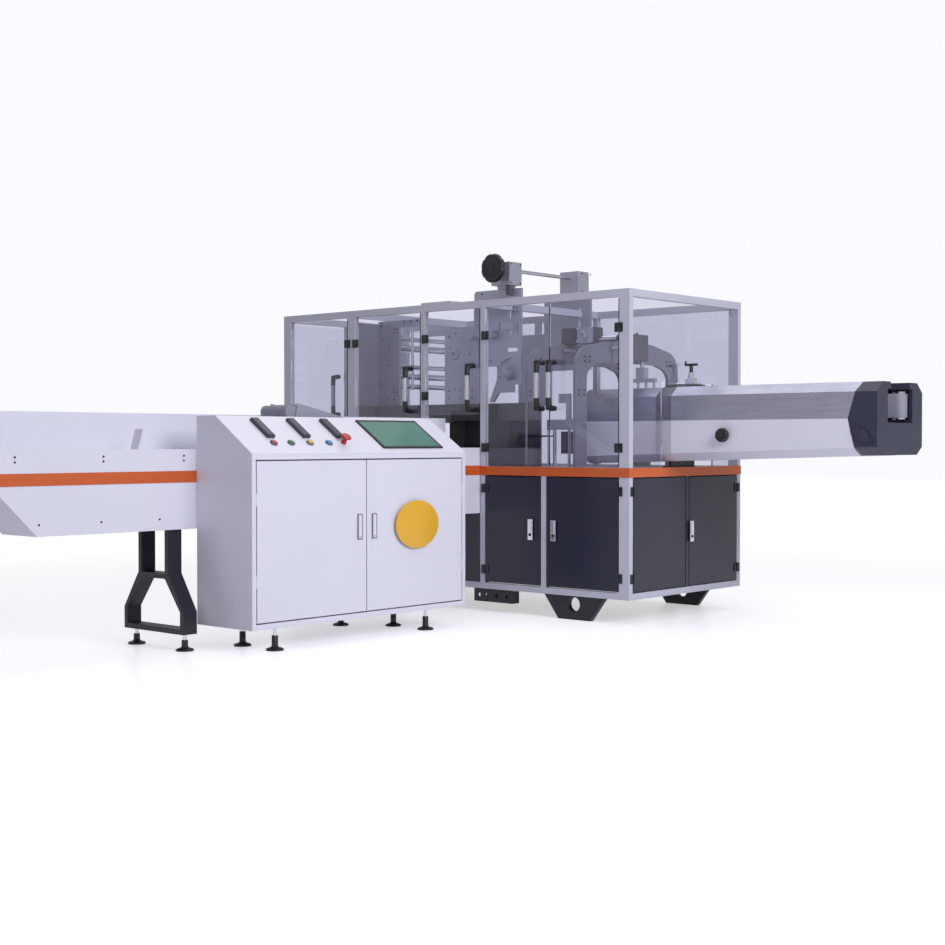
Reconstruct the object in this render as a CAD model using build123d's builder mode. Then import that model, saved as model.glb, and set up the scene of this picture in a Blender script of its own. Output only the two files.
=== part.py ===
"""Tissue packing machine: guarded main frame, infeed conveyor, control console and discharge conveyor.

Millimetres, +Z up. The origin is the centre of the sole of the main frame's front right foot.
+X runs along the main frame towards the discharge end, and +Y from the operator's side to the back.
"""
import os
from math import atan2, cos, hypot, radians, sin

from build123d import *

os.makedirs("parts", exist_ok=True)

# Main frame
tube = 35.0                      # side of the square frame tube
wide_tube = 66.0                 # long side of the corner and door posts
bay_widths = [953.0, 440.0, 563.0, 535.0]    # clear upper bays from the discharge end
base_bay_widths = [501.0, 417.0]             # clear lower door bays from the discharge end
frame_depth = 1122.0
frame_bottom = 133.0             # underside of the bottom rail above the floor
base_height = 657.5              # bottom rail's underside to the orange band
band_height = 50.5
guard_height = 959.0             # orange band's top to the roof
roof_rail = 42.0
right_face = 380.0               # discharge end of the frame, from the foot's centre
front_face = -30.0               # operator's face of the frame, from the foot's centre
band_proud = 3.0
deck_thickness = 12.0
glass = 8.0
panel = 3.0
door_gap = 6.0

band_bottom = frame_bottom + base_height
deck = band_bottom + band_height
roof = deck + guard_height
rail_bottom = roof - roof_rail
back_face = front_face + frame_depth
corner_in = right_face - wide_tube
sill = frame_bottom + tube

# Clear bays and the posts between them, from the discharge end to the left
post_widths = [tube, tube, wide_tube]
bays = []
bay_right = corner_in
for bay_width, post_width in zip(bay_widths, post_widths + [wide_tube]):
    bays.append((bay_right - bay_width, bay_right))
    bay_right -= bay_width + post_width
left_face = bay_right
left_in = left_face + wide_tube
posts = [(bays[i + 1][1], bays[i][0]) for i in range(3)]

# Lower bays: two door bays under the first upper bay, then equal closed bays
base_bays = []
bay_right = corner_in
for bay_width in base_bay_widths:
    base_bays.append((bay_right - bay_width, bay_right))
    bay_right -= bay_width + tube
closed_bay_count = 3
closed_width = (bay_right - left_in - (closed_bay_count - 1) * tube) / closed_bay_count
for i in range(closed_bay_count):
    base_bays.append((bay_right - closed_width, bay_right))
    bay_right -= closed_width + tube
base_posts_x = [(base_bays[i + 1][1], base_bays[i][0]) for i in range(len(base_bays) - 1)]

# Feet of the main frame
foot_thickness = 30.0
foot_top = 420.0
foot_sole = 220.0
foot_hole_r = 40.0
foot_hole_drop = 48.0
bracket_length = 290.0
bracket_height = 76.0
bracket_x = -580.0
bracket_wall = 6.0
bracket_depth = 66.0
bracket_holes = [40.0, 95.0, 170.0, 245.0]   # from its left end
bracket_hole_r = 11.0

# Roof gussets at both ends, and the loose cover plate on the front roof rail
gusset = 4.0
gusset_leg = 38.0
roof_plate = (471.0, 231.0, 120.0, 12.0)     # left and right end from the beam, depth, thickness

# Hinges and handles
hinge_size = 50.0
hinge_leaf = 5.0
hinge_barrel_r = 6.0
hinge_play = 1.0
guard_hinge_z = (deck + 108.0, deck + 754.0)
base_hinge_z = (frame_bottom + 114.0, band_bottom - 75.5)
handle_low = deck + 316.0
handle_high = deck + 592.0
handle_reach = 74.0
handle_bar = 20.0
handle_inset = 45.0
far_inset = 68.0                 # on the film station's door
entry_door_low = deck + 299.0    # low edge of the guard door over the infeed
entry_hinge_low = deck + 414.0
base_door_depth = 18.0
sheet = 2.0
end_strip = 30.0                 # navy strip between the two end doors
lock_width = 25.0
lock_height = 110.0
lock_z = frame_bottom + 356.0
lock_inset = 36.0
lock_proud = 4.0

# Sealing arches: thin plates with a sloping shoulder on both sides
arch_x = (-360.0, -19.0)         # middle planes of the two arches
arch_thickness = 18.0
arch_front = 13.0
arch_back = 1012.0
arch_leg = 102.0
arch_rise = 709.0
arch_beam = 118.0                # depth of the arch at its middle
arch_drop = 56.0                 # how far the top line falls from the middle to the legs
arch_flat = 281.0                # leg's outside to where the top line is level
arch_outer_r = 125.0
arch_inner_r = 85.0
arch_boss = 12.0                 # thickness of the pad plate on each arch's outlet side
arch_boss_width = 335.0
arch_pad = (107.0, 19.0, 12.0)

# Press head on the first arch
motor_width = 141.0
motor_depth = 75.0
motor_height = 151.0
motor_y = 505.0
motor_drop = 107.0               # motor's underside below the arch's top
head_y = 556.0
head_x = 48.0
head_neck = 35.0
head_cube = (56.0, 45.0, 63.0)
head_bar = (187.0, 31.0, 22.0)
head_pin_r = 7.0
head_pin = 31.0
head_pin_pitch = 55.0

# Gearbox on the second arch
gearbox_length = 229.0
gearbox_width = 95.0
gearbox_height = 92.0
gearbox_front = 345.0
flange = 104.0
flange_thickness = 14.0

# Film plates, then the forming plates right behind them
plate_thickness = 15.0
near_row = 205.0                 # front face of the near film plate
far_row = 925.0                  # back face of the far film plate
film_left = -1739.0
film_right = -898.0
film_step = -1340.0
film_top = deck + 904.0
film_step_top = deck + 827.0
film_window = (-1552.0, -1165.0)
film_window_top = deck + 859.0
film_window_step = deck + 790.0
forming_left = -940.0
forming_right = -572.0
forming_low = deck + 589.0
forming_top = deck + 1044.0
forming_cut = 14.0               # cut corner at the plate's top left
forming_foot = deck + 433.0
hub_x = -682.0
hub_z = deck + 546.0
hub_r = 42.0
hub_length = 46.0
stub_r = 27.0
stub_length = 52.0
stub_z = deck + 777.0
stub_x = (-920.0, -778.0)
slot_bracket = (97.0, 26.0, 50.0)

# Posts, valve box and bracket between the arches
deck_posts = [(-285.0, 6.0), (-240.0, 10.0), (-136.0, 9.0)]      # place along X and radius
post_y = 120.0
post_top = deck + 209.0
post_plate = 58.0
post_rail = (-342.0, -250.0, 5.0, deck + 173.0)
post_bracket = (-206.0, -153.0, -127.0, deck + 360.0, deck + 412.0)
valve_box = (-203.0, -139.0, 9.0, 44.0, deck + 74.0, deck + 199.0)

# Bed under the plates, stepped back towards the arches
bed_front = 160.0
bed_steps = [(-425.0, 222.0), (-640.0, 490.0), (-965.0, 890.0)]    # right end and back of each step
bed_top_z = deck + 368.0
bed_skirt = 102.0
bed_base_height = 100.0
bed_wall = 15.0
leg_plate = 10.0                 # end plates on the second arch's near leg, at the bed's height
partition_top = deck + 887.0
partition_front = 8.0

# Height adjuster over the forming plates
block_width = 140.0
block_depth = 112.0
block_height = 135.0
block_seat = 20.0
block_overhang = 40.0            # front of the near block ahead of its forming plate
shaft_inset = 26.0               # shaft's middle, left of the front roof beam
shaft_r = 10.0
shaft_rise = 95.0                # shaft's middle above the block's underside
shaft_play = 0.05
wheel_r = 88.0
wheel_thickness = 40.0
wheel_gap = 48.0                 # between the handwheel and the near block

# Discharge conveyor
discharge_front = 278.0
discharge_width = 506.0
discharge_start = -200.0
discharge_end = 1649.0
discharge_neck = 50.0            # how much narrower each side is inside the guard
flare = (300.0, 439.0)           # where the sides widen
discharge_top = deck + 442.0
discharge_split = deck + 257.0
top_bevel = (60.0, 50.0)
bottom_bevel = (60.0, 41.0)
belly_start = deck + 16.4
belly_end = deck + 74.0
cap_shoulder = 104.0             # length of the end cap at its top and bottom
cap_nose = 159.0                 # length of the end cap at the split line
cover_wall = 12.0
slot_width = 210.0
pedestal_x = (30.0, 335.0)
pedestal_thickness = 13.0
pedestal_width = 240.0
roller_r = 37.5
roller_flange_r = 39.5
roller_flange = 6.0
roller_x = discharge_end - 69.0
roller_spread = 274.0            # distance between the two end rollers
roller_bottom = discharge_split - 2.0
roller_top = discharge_top - 44.0
running_gap = 0.3
belt_thickness = 3.0
belt_start = 30.0
belt_edge = 10.0
window_half = 138.0
window_bottom = discharge_split - 20.0
window_top = discharge_top - 34.0
knob_x = 780.0
knob_z = discharge_split - 81.0
knob_r = 39.0
knob_thickness = 34.0
knob_neck = 14.0
bearing_x = discharge_end - 75.0
bearing_z = discharge_split - 83.0
bearing_length = 125.0
bearing_width = 34.0
bearing_r = 30.0
crank_base_r = 125.0
crank_base_height = 16.0
crank_base_x = 392.0
crank_base_y = 500.0
crank_plate = (150.0, 66.0, 6.0)
crank_x = 436.0
crank_y = 480.0
crank_block = (60.0, 35.0, 62.0)
crank_neck_r = 10.0
crank_neck = 36.0
crank_bar = 86.0
crank_bar_width = 13.0
crank_knob_r = 5.5
crank_knob = 14.0

# Infeed conveyor
infeed_x = -675.0                # operator's face of the near side panel
infeed_width = 280.0
infeed_wall = 10.0
infeed_bottom = band_bottom - 221.5
infeed_top = deck + 107.0
far_wall_top = deck + 279.0
infeed_length = 4000.0
skirt_length = 2914.0
stripe_bottom = band_bottom - 0.5
stripe_top = deck + 4.0
stripe_proud = 2.0
stripe_gap = 2.0                 # between the infeed's stripe and the frame's band
belt_bed_z = deck + 97.0
belt_bed = 12.0
under_sheet = 4.0
flight_pitch = 740.0
flight_first = 1560.0            # first flight from the frame
flight_height = 103.0
flight_near = 80.0               # from the near panel's face
flight_width = 60.0
flight_foot = 30.0
stand_near = 2161.0              # first stand, from the frame
stand_end = 250.0                # last stand, from the infeed's cut end
stand_depth = 80.0
stand_bar = 25.0
stand_low = 80.0
splay_low = 185.0
splay_high = 360.0
stand_top_width = 230.0
stand_foot_width = 460.0
prop = (-784.0, 1006.0, 60.0)    # place, distance from the frame and size of the prop next to the console

# Hold-down belt over the infeed
hold_slope = 12.0                # degrees
hold_near = infeed_x - 45.0
hold_width = 210.0
hold_head_y = -1440.0
hold_head_z = deck + 294.0
hold_length = 760.0
hold_r = 35.0
hold_side = 8.0
hold_rise = 53.0                 # top of its side plates above the belt's middle
hold_arm = (60.0, 50.0)

# Control console
console_front = -270.0
console_right = -613.0           # end next to the main frame
console_length = 1470.0
console_bottom = 111.0
console_front_top = 928.0
console_top = 1106.0
console_back = infeed_x + stripe_proud
console_wall = 5.0
console_slope = 264.0            # depth of the sloping desk in plan
door_top = console_front_top - 23.0
door_bottom = console_bottom + 32.0
door_margin = 30.0
console_door_depth = 18.0
pivot_r = 2.4
pivot_length = 60.0
pivot_inset = 160.0
pull_height = 123.0
pull_width = 30.0
pull_thickness = 8.0
pull_drop = 341.0                # door's top to the middle of the pull
pull_inset = 50.0
module = (52.0, 155.0, 12.0)
module_y = (-529.0, -302.0, -83.0)
module_up = 205.0
button_y = (-543.0, -434.0, -314.0, -189.0, -92.0)
button_up = 84.0
button_r = 15.0
button_height = 14.0
screen = (440.0, 252.0, 8.0)
screen_y = 370.0
screen_up = 161.0

# Levelling feet
foot_disc_r = 42.0
foot_disc = 14.0
foot_stem_r = 14.0
console_foot_inset = (52.0, 116.0)      # from the console's front and back
console_foot_end = (255.0, 181.0)       # from its right and left ends


def front_plane(y):
    """Plane facing the operator at a depth; positive extrusion goes towards the operator."""
    return Plane.XZ.offset(-y)


def end_plane(x):
    """Plane facing the discharge end; positive extrusion goes towards +X."""
    return Plane.YZ.offset(x)


def level(z):
    return Plane.XY.offset(z)


def rect(u0, u1, v0, v1, mode=Mode.ADD):
    """Rectangle in the current sketch from its two spans."""
    with Locations(((u0 + u1) / 2, (v0 + v1) / 2)):
        Rectangle(abs(u1 - u0), abs(v1 - v0), mode=mode)


def outline(*points):
    """Closed face in the current sketch from its corners."""
    with BuildLine() as edge:
        Polyline(*points, close=True)
    make_face(edge.edges())


def many_sided(r, sides=12, mode=Mode.ADD):
    """Small round bar or hole as a regular polygon, which keeps the facets few."""
    RegularPolygon(r, sides, mode=mode)


def block(x0, x1, y0, y1, z0, z1):
    """Box solid in the current part from its three spans."""
    with BuildSketch(level(z0)) as plan:
        rect(x0, x1, y0, y1)
    extrude(plan.sketch, amount=z1 - z0)


def save(piece, name):
    piece.part.label = name
    export_step(piece.part, f"parts/{name}.step")


# Lower frame: corner posts and mullions, and the bottom rails between the corners
corners_x = [(left_face, left_in), (corner_in, right_face)]
rows_y = [(front_face, front_face + tube), (back_face - tube, back_face)]
with BuildPart() as base_posts:
    with BuildSketch(level(frame_bottom)):
        for y0, y1 in rows_y:
            for x0, x1 in corners_x:
                rect(x0, x1, y0, y1)
    extrude(amount=base_height)
    with BuildSketch(level(sill)):
        for y0, y1 in rows_y:
            for x0, x1 in base_posts_x:
                rect(x0, x1, y0, y1)
    extrude(amount=base_height - tube)
save(base_posts, "base_posts")

with BuildPart() as base_rails:
    with BuildSketch(level(frame_bottom)):
        for y0, y1 in rows_y:
            rect(left_in, corner_in, y0, y1)
        for x0, x1 in [(left_face, left_face + tube), (right_face - tube, right_face)]:
            rect(x0, x1, front_face + tube, back_face - tube)
    extrude(amount=tube)
save(base_rails, "base_rails")

# Orange band round the frame, and the same stripe along both sides of the infeed
stripe_end = front_face - band_proud
infeed_far = infeed_x - infeed_width
with BuildPart() as orange_band:
    with BuildSketch(level(band_bottom)):
        rect(left_face - band_proud, right_face + band_proud, front_face - band_proud, back_face + band_proud)
        rect(left_face + tube, right_face - tube, front_face + tube, back_face - tube, mode=Mode.SUBTRACT)
    extrude(amount=band_height)
    with BuildSketch(level(stripe_bottom)):
        rect(infeed_x, infeed_x + stripe_proud, stripe_end - infeed_length, stripe_end - stripe_gap)
        rect(infeed_far - stripe_proud, infeed_far, stripe_end - infeed_length, stripe_end - stripe_gap)
    extrude(amount=stripe_top - stripe_bottom)
save(orange_band, "orange_band")

with BuildPart() as deck_plate:
    with BuildSketch(level(deck - deck_thickness)):
        rect(left_face + tube, right_face - tube, front_face + tube, back_face - tube)
    extrude(amount=deck_thickness)
save(deck_plate, "deck_plate")

# Upper guard frame
mid_y = (front_face + back_face) / 2
with BuildPart() as guard_posts:
    with BuildSketch(level(deck)):
        for y0, y1 in rows_y:
            for x0, x1 in corners_x:
                rect(x0, x1, y0, y1)
    extrude(amount=guard_height)
    with BuildSketch(level(deck)):
        for y0, y1 in rows_y:
            for x0, x1 in posts:
                rect(x0, x1, y0, y1)
        rect(left_face, left_face + tube, mid_y - tube / 2, mid_y + tube / 2)
    extrude(amount=guard_height - roof_rail)
save(guard_posts, "guard_posts")

with BuildPart() as guard_rails:
    with BuildSketch(level(rail_bottom)):
        for y0, y1 in rows_y:
            rect(left_in, corner_in, y0, y1)
        for x0, x1 in [(left_face, left_face + tube), (right_face - tube, right_face)]:
            rect(x0, x1, front_face + tube, back_face - tube)
    extrude(amount=roof_rail)
    for gusset_x in (left_face + tube - gusset, right_face - tube):
        with BuildSketch(end_plane(gusset_x)):
            for y, way in ((front_face + tube, 1), (back_face - tube, -1)):
                outline((y, rail_bottom), (y + way * gusset_leg, rail_bottom), (y, rail_bottom - gusset_leg))
        extrude(amount=gusset)
save(guard_rails, "guard_rails")

with BuildPart() as roof_beams:
    with BuildSketch(level(rail_bottom)):
        for x0, x1 in (posts[0], posts[2]):
            rect(x0, x0 + tube, front_face + tube, back_face - tube)
    extrude(amount=roof_rail)
    with BuildSketch(level(roof)):
        rect(posts[0][0] - roof_plate[0], posts[0][0] - roof_plate[1], front_face, front_face + roof_plate[2])
    extrude(amount=roof_plate[3])
save(roof_beams, "roof_beams")

# Fixed panes: the whole back, the far half of the left end, and the discharge end with its cut-out
with BuildPart() as guard_panes:
    with BuildSketch(front_plane(back_face)):
        for x0, x1 in bays:
            rect(x0, x1, deck, rail_bottom)
    extrude(amount=glass)
    with BuildSketch(end_plane(left_face)):
        rect(mid_y + tube / 2, back_face - tube, deck, rail_bottom)
    extrude(amount=glass)
    with BuildSketch(end_plane(right_face - glass)):
        rect(front_face + tube, back_face - tube, deck, rail_bottom)
        rect(discharge_front - door_gap, discharge_front + discharge_width + door_gap,
             deck, discharge_top + crank_base_height + crank_plate[2] + door_gap, mode=Mode.SUBTRACT)
    extrude(amount=glass)
save(guard_panes, "guard_panes")

# Closed navy panels: three front bays, all of the back, the left end, and the strip between the end doors
with BuildPart() as base_panels:
    with BuildSketch(front_plane(front_face + panel)):
        for x0, x1 in base_bays[2:]:
            rect(x0, x1, sill, band_bottom)
    extrude(amount=panel)
    with BuildSketch(front_plane(back_face)):
        for x0, x1 in base_bays:
            rect(x0, x1, sill, band_bottom)
    extrude(amount=panel)
    with BuildSketch(end_plane(left_face)):
        rect(front_face + tube, back_face - tube, sill, band_bottom)
    extrude(amount=panel)
    with BuildSketch(end_plane(right_face - base_door_depth)):
        rect(mid_y - end_strip / 2, mid_y + end_strip / 2, sill, band_bottom)
    extrude(amount=base_door_depth)
save(base_panels, "base_panels")

# Plate feet and the jacking bracket under the front rail
d_near = discharge_front
d_far = discharge_front + discharge_width
d_mid = (d_near + d_far) / 2


def belly(x):
    """Height of the discharge conveyor's sloping underside at a place along it."""
    return belly_start + (belly_end - belly_start) * (x - discharge_start) / (discharge_end - discharge_start)


left_foot_x = left_face + right_face
foot_rows = (front_face + foot_thickness, back_face - foot_thickness)
with BuildPart() as machine_feet:
    for foot_y in foot_rows:
        with BuildSketch(front_plane(foot_y + foot_thickness / 2)):
            for foot_x in (0, left_foot_x):
                outline((foot_x - foot_sole / 2, 0), (foot_x + foot_sole / 2, 0),
                        (foot_x + foot_top / 2, frame_bottom), (foot_x - foot_top / 2, frame_bottom))
            with Locations((0, frame_bottom - foot_hole_drop), (left_foot_x, frame_bottom - foot_hole_drop)):
                Circle(foot_hole_r, mode=Mode.SUBTRACT)
        extrude(amount=foot_thickness)
    bracket_left = bracket_x - bracket_length / 2
    bracket_right = bracket_x + bracket_length / 2
    with BuildSketch(level(frame_bottom - bracket_height)):
        rect(bracket_left, bracket_right, front_face + bracket_wall, front_face + bracket_depth)
        rect(bracket_left, bracket_right - bracket_wall, front_face + 2 * bracket_wall,
             front_face + bracket_depth - bracket_wall, mode=Mode.SUBTRACT)
    extrude(amount=bracket_height)
    with BuildSketch(front_plane(front_face + bracket_depth)):
        with Locations(*[(bracket_left + x, frame_bottom - bracket_height / 2) for x in bracket_holes]):
            many_sided(bracket_hole_r)
    extrude(amount=bracket_depth, mode=Mode.SUBTRACT)
    # Pedestal plates of the discharge conveyor, cut to the slope of its belly
    for x in pedestal_x:
        with BuildSketch(front_plane(d_mid + pedestal_width / 2)):
            outline((x, deck), (x + pedestal_thickness, deck),
                    (x + pedestal_thickness, belly(x + pedestal_thickness)), (x, belly(x)))
        extrude(amount=pedestal_width)
save(machine_feet, "machine_feet")


def hinge_half(pin, along, outward, z, side, upper):
    """One half of a block hinge on a vertical pin: leaf on one side of the pin and half of the barrel.

    along is the unit vector from the post to the door in plan, outward the one out of the face.
    side is -1 for the half on the post and 1 for the half on the door.
    """
    leaf_far = hinge_size / 2 + 1
    leaf_near = hinge_barrel_r + hinge_play
    out = Plane(origin=(pin[0], pin[1], z), x_dir=(along[0] * side, along[1] * side, 0), z_dir=(0, 0, 1))
    flip = out.y_dir.X * outward[0] + out.y_dir.Y * outward[1]
    back = -(hinge_barrel_r + hinge_play) * flip
    front = back + hinge_leaf * flip
    low = 0.25 if upper else -hinge_size / 2
    high = hinge_size / 2 if upper else -0.25
    with BuildSketch(out.offset(-hinge_size / 2)) as leaf_plan:
        rect(leaf_near, leaf_far, min(back, front), max(back, front))
    extrude(leaf_plan.sketch, amount=hinge_size)
    with BuildSketch(out.offset(low)) as barrel_plan:
        many_sided(hinge_barrel_r, 10)
        rect(0, leaf_near + 1, min(back + hinge_play * flip, front), max(back + hinge_play * flip, front))
    extrude(barrel_plan.sketch, amount=high - low)


pin_offset = hinge_barrel_r + hinge_play
guard_low = deck + door_gap
guard_high = rail_bottom - door_gap
front_pin_y = front_face - pin_offset

# Hinge pins of the guard doors: plan place, direction from post to door, outward direction
mid_bay_a = (bays[0][0] + bays[0][1]) / 2
guard_doors = {
    "guard_door_1": dict(span=(bays[3][0], bays[3][1]), hinge="right", low=guard_low, handle=False),
    "guard_door_2": dict(span=(bays[2][0], bays[2][1]), hinge="left", low=guard_low, handle=True, inset=far_inset),
    "guard_door_3": dict(span=(bays[1][0], bays[1][1]), hinge="left", low=entry_door_low, handle=True),
    "guard_door_4": dict(span=(bays[0][0], mid_bay_a + door_gap / 2), hinge="left", low=guard_low, handle=True),
    "guard_door_5": dict(span=(mid_bay_a - door_gap / 2, bays[0][1]), hinge="right", low=guard_low, handle=True),
}
root_hinges = []
for name, door in guard_doors.items():
    x0, x1 = door["span"]
    sign = 1 if door["hinge"] == "left" else -1
    pin_x = x0 + door_gap / 2 if sign == 1 else x1 - door_gap / 2
    pin = (pin_x, front_pin_y)
    hinge_zs = (guard_hinge_z if door["low"] < guard_hinge_z[0] else (entry_hinge_low, guard_hinge_z[1]))
    for z in hinge_zs:
        root_hinges.append((pin, (sign, 0), (0, -1), z))
    with BuildPart() as pane:
        with BuildSketch(front_plane(front_face + glass)):
            rect(x0 + door_gap, x1 - door_gap, door["low"], guard_high)
        extrude(amount=glass)
    save(pane, name)
    with BuildPart() as fittings:
        for z in hinge_zs:
            hinge_half(pin, (sign, 0), (0, -1), z, 1, False)
        if door["handle"]:
            inset = door.get("inset", handle_inset)
            grip_x = (x1 - inset) if sign == 1 else (x0 + inset)
            with BuildSketch(end_plane(grip_x - handle_bar / 2)):
                rect(front_face - handle_reach, front_face, handle_low, handle_high)
                rect(front_face - handle_reach + handle_bar, front_face,
                     handle_low + handle_bar, handle_high - handle_bar, mode=Mode.SUBTRACT)
            extrude(amount=handle_bar)
    save(fittings, name.replace("guard_door", "guard_door_fittings"))

# Guard door in the near half of the left end, hinged on the front corner post
end_pin = (left_face - pin_offset, front_face + tube + door_gap / 2)
left_far = mid_y - tube / 2
with BuildPart() as pane:
    with BuildSketch(end_plane(left_face)):
        rect(front_face + tube + door_gap, left_far - door_gap, guard_low, guard_high)
    extrude(amount=glass)
save(pane, "guard_door_6")
for z in guard_hinge_z:
    root_hinges.append((end_pin, (0, 1), (-1, 0), z))
with BuildPart() as fittings:
    for z in guard_hinge_z:
        hinge_half(end_pin, (0, 1), (-1, 0), z, 1, False)
    grip_y = left_far - handle_inset
    with BuildSketch(front_plane(grip_y + handle_bar / 2)):
        rect(left_face - handle_reach, left_face, handle_low, handle_high)
        rect(left_face - handle_reach + handle_bar, left_face,
             handle_low + handle_bar, handle_high - handle_bar, mode=Mode.SUBTRACT)
    extrude(amount=handle_bar)
save(fittings, "guard_door_fittings_6")

# Navy doors of the lower frame: folded pans with a hinge half and a lock plate
front_doors = {
    "base_door_1": dict(span=base_bays[0], hinge="right"),
    "base_door_2": dict(span=base_bays[1], hinge="left"),
}
for name, door in front_doors.items():
    x0, x1 = door["span"]
    sign = 1 if door["hinge"] == "left" else -1
    pin = (x0 + door_gap / 2 if sign == 1 else x1 - door_gap / 2, front_pin_y)
    with BuildPart() as leaf:
        with BuildSketch(front_plane(front_face + base_door_depth)):
            rect(x0 + door_gap, x1 - door_gap, sill + door_gap, band_bottom - door_gap)
        extrude(amount=base_door_depth)
        offset(amount=-sheet, openings=leaf.faces().sort_by(Axis.Y)[-1])
        lock_x = x1 - lock_inset if sign == 1 else x0 + lock_inset
        with BuildSketch(front_plane(front_face)):
            rect(lock_x - lock_width / 2, lock_x + lock_width / 2, lock_z - lock_height / 2, lock_z + lock_height / 2)
        extrude(amount=lock_proud)
        for z in base_hinge_z:
            hinge_half(pin, (sign, 0), (0, -1), z, 1, False)
    for z in base_hinge_z:
        root_hinges.append((pin, (sign, 0), (0, -1), z))
    save(leaf, name)

end_doors = {
    "base_door_3": dict(span=(front_face + tube, mid_y - end_strip / 2), sign=1),
    "base_door_4": dict(span=(mid_y + end_strip / 2, back_face - tube), sign=-1),
}
for name, door in end_doors.items():
    y0, y1 = door["span"]
    sign = door["sign"]
    pin = (right_face + pin_offset, y0 + door_gap / 2 if sign == 1 else y1 - door_gap / 2)
    with BuildPart() as leaf:
        with BuildSketch(end_plane(right_face - base_door_depth)):
            rect(y0 + door_gap, y1 - door_gap, sill + door_gap, band_bottom - door_gap)
        extrude(amount=base_door_depth)
        offset(amount=-sheet, openings=leaf.faces().sort_by(Axis.X)[0])
        if sign == -1:
            lock_y = y0 + lock_inset
            with BuildSketch(end_plane(right_face)):
                rect(lock_y - lock_width / 2, lock_y + lock_width / 2,
                     lock_z - lock_height / 2, lock_z + lock_height / 2)
            extrude(amount=lock_proud)
        for z in base_hinge_z:
            hinge_half(pin, (0, sign), (1, 0), z, 1, False)
    for z in base_hinge_z:
        root_hinges.append((pin, (0, sign), (1, 0), z))
    save(leaf, name)

with BuildPart() as hinge_leaves:
    for pin, along, outward, z in root_hinges:
        hinge_half(pin, along, outward, z, -1, True)
save(hinge_leaves, "hinge_leaves")

# Sealing arches over the product path
arch_top = deck + arch_rise
arch_mid = (arch_front + arch_back) / 2
arch_shoulder = arch_top - arch_drop
arch_inner_top = arch_top - arch_beam
inner_flat = arch_flat - arch_leg / 3
with BuildPart() as arch_plates:
    for x in arch_x:
        with BuildSketch(end_plane(x - arch_thickness / 2)):
            with BuildLine():
                FilletPolyline((arch_front, deck), (arch_front, arch_shoulder), (arch_front + arch_flat, arch_top),
                               (arch_back - arch_flat, arch_top), (arch_back, arch_shoulder), (arch_back, deck),
                               radius=arch_outer_r)
                Line((arch_back, deck), (arch_back - arch_leg, deck))
                FilletPolyline((arch_back - arch_leg, deck), (arch_back - arch_leg, arch_shoulder - arch_leg),
                               (arch_back - inner_flat, arch_inner_top), (arch_front + inner_flat, arch_inner_top),
                               (arch_front + arch_leg, arch_shoulder - arch_leg), (arch_front + arch_leg, deck),
                               radius=arch_inner_r)
                Line((arch_front + arch_leg, deck), (arch_front, deck))
            make_face()
        extrude(amount=arch_thickness)
        face = x + arch_thickness / 2
        block(face, face + arch_boss, arch_mid - arch_boss_width / 2, arch_mid + arch_boss_width / 2,
              arch_inner_top, arch_top)
save(arch_plates, "arch_plates")

# Drives: gearbox over the second arch, motor on the first, stepped cover in front of the bed
arch_face = arch_x[1] + arch_thickness / 2 + arch_boss
gearbox_left = arch_x[0] - arch_thickness / 2
gearbox_right = gearbox_left + gearbox_length
motor_bottom = arch_top - motor_drop
shaft_line = arch_top + gearbox_height / 2
bed_top_low = bed_top_z - bed_skirt
cover_left, cover_right = infeed_x - infeed_width - 55, infeed_x - 25
with BuildPart() as drive_boxes:
    block(gearbox_left, gearbox_right, gearbox_front, gearbox_front + gearbox_width,
          arch_top, arch_top + gearbox_height)
    block(arch_face, arch_face + motor_depth, motor_y - motor_width / 2, motor_y + motor_width / 2,
          motor_bottom, motor_bottom + motor_height)
    with BuildSketch(front_plane(bed_front)):
        outline((cover_left, bed_top_low), (cover_right, bed_top_low), (cover_right, bed_top_z - 4),
                (cover_left + 80, bed_top_z - 4), (cover_left + 80, bed_top_z - 44), (cover_left, bed_top_z - 44))
    extrude(amount=70)
    # Slide under the near gear block, and the valve box on the deck posts
    slide_right = posts[0][0] - shaft_inset + block_width / 2
    block(slide_right - block_width / 5, slide_right, near_row + plate_thickness - block_overhang,
          near_row + plate_thickness, forming_top - block_overhang, forming_top + block_seat)
    block(valve_box[0], valve_box[1], post_y + valve_box[2], post_y + valve_box[3], valve_box[4], valve_box[5])
save(drive_boxes, "drive_boxes")

cube_low = motor_bottom - head_neck - head_cube[2]
bar_low = cube_low - head_bar[2]
with BuildPart() as press_head:
    with BuildSketch(level(motor_bottom - head_neck)):
        with Locations((head_x, head_y)):
            many_sided(head_cube[1] / 4)
    extrude(amount=head_neck)
    block(head_x - head_cube[0] / 2, head_x + head_cube[0] / 2, head_y - head_cube[1] / 2,
          head_y + head_cube[1] / 2, cube_low, cube_low + head_cube[2])
    block(head_x - head_bar[0] / 2, head_x + head_bar[0] / 2, head_y - head_bar[1] / 2,
          head_y + head_bar[1] / 2, bar_low, cube_low)
    with BuildSketch(level(bar_low - head_pin)):
        with GridLocations(head_pin_pitch, 1, 4, 1) as pins:
            pass
        with Locations(*[(head_x + pin.position.X, head_y) for pin in pins]):
            many_sided(head_pin_r, 8)
    extrude(amount=head_pin)
save(press_head, "press_head")

# Film plates with the web window, stepped along the top
film_near = near_row + plate_thickness
film_far = far_row - plate_thickness
with BuildPart() as film_plates:
    for y in (film_near, far_row):
        with BuildSketch(front_plane(y)):
            outline((film_left, bed_top_z), (film_left, film_top), (film_step, film_top),
                    (film_step, film_step_top), (film_right, film_step_top), (film_right, bed_top_z),
                    (film_window[1], bed_top_z), (film_window[1], film_window_step),
                    (film_step - plate_thickness, film_window_step), (film_step - 2 * plate_thickness, film_window_top),
                    (film_window[0], film_window_top), (film_window[0], bed_top_z))
        extrude(amount=plate_thickness)
save(film_plates, "film_plates")

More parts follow.
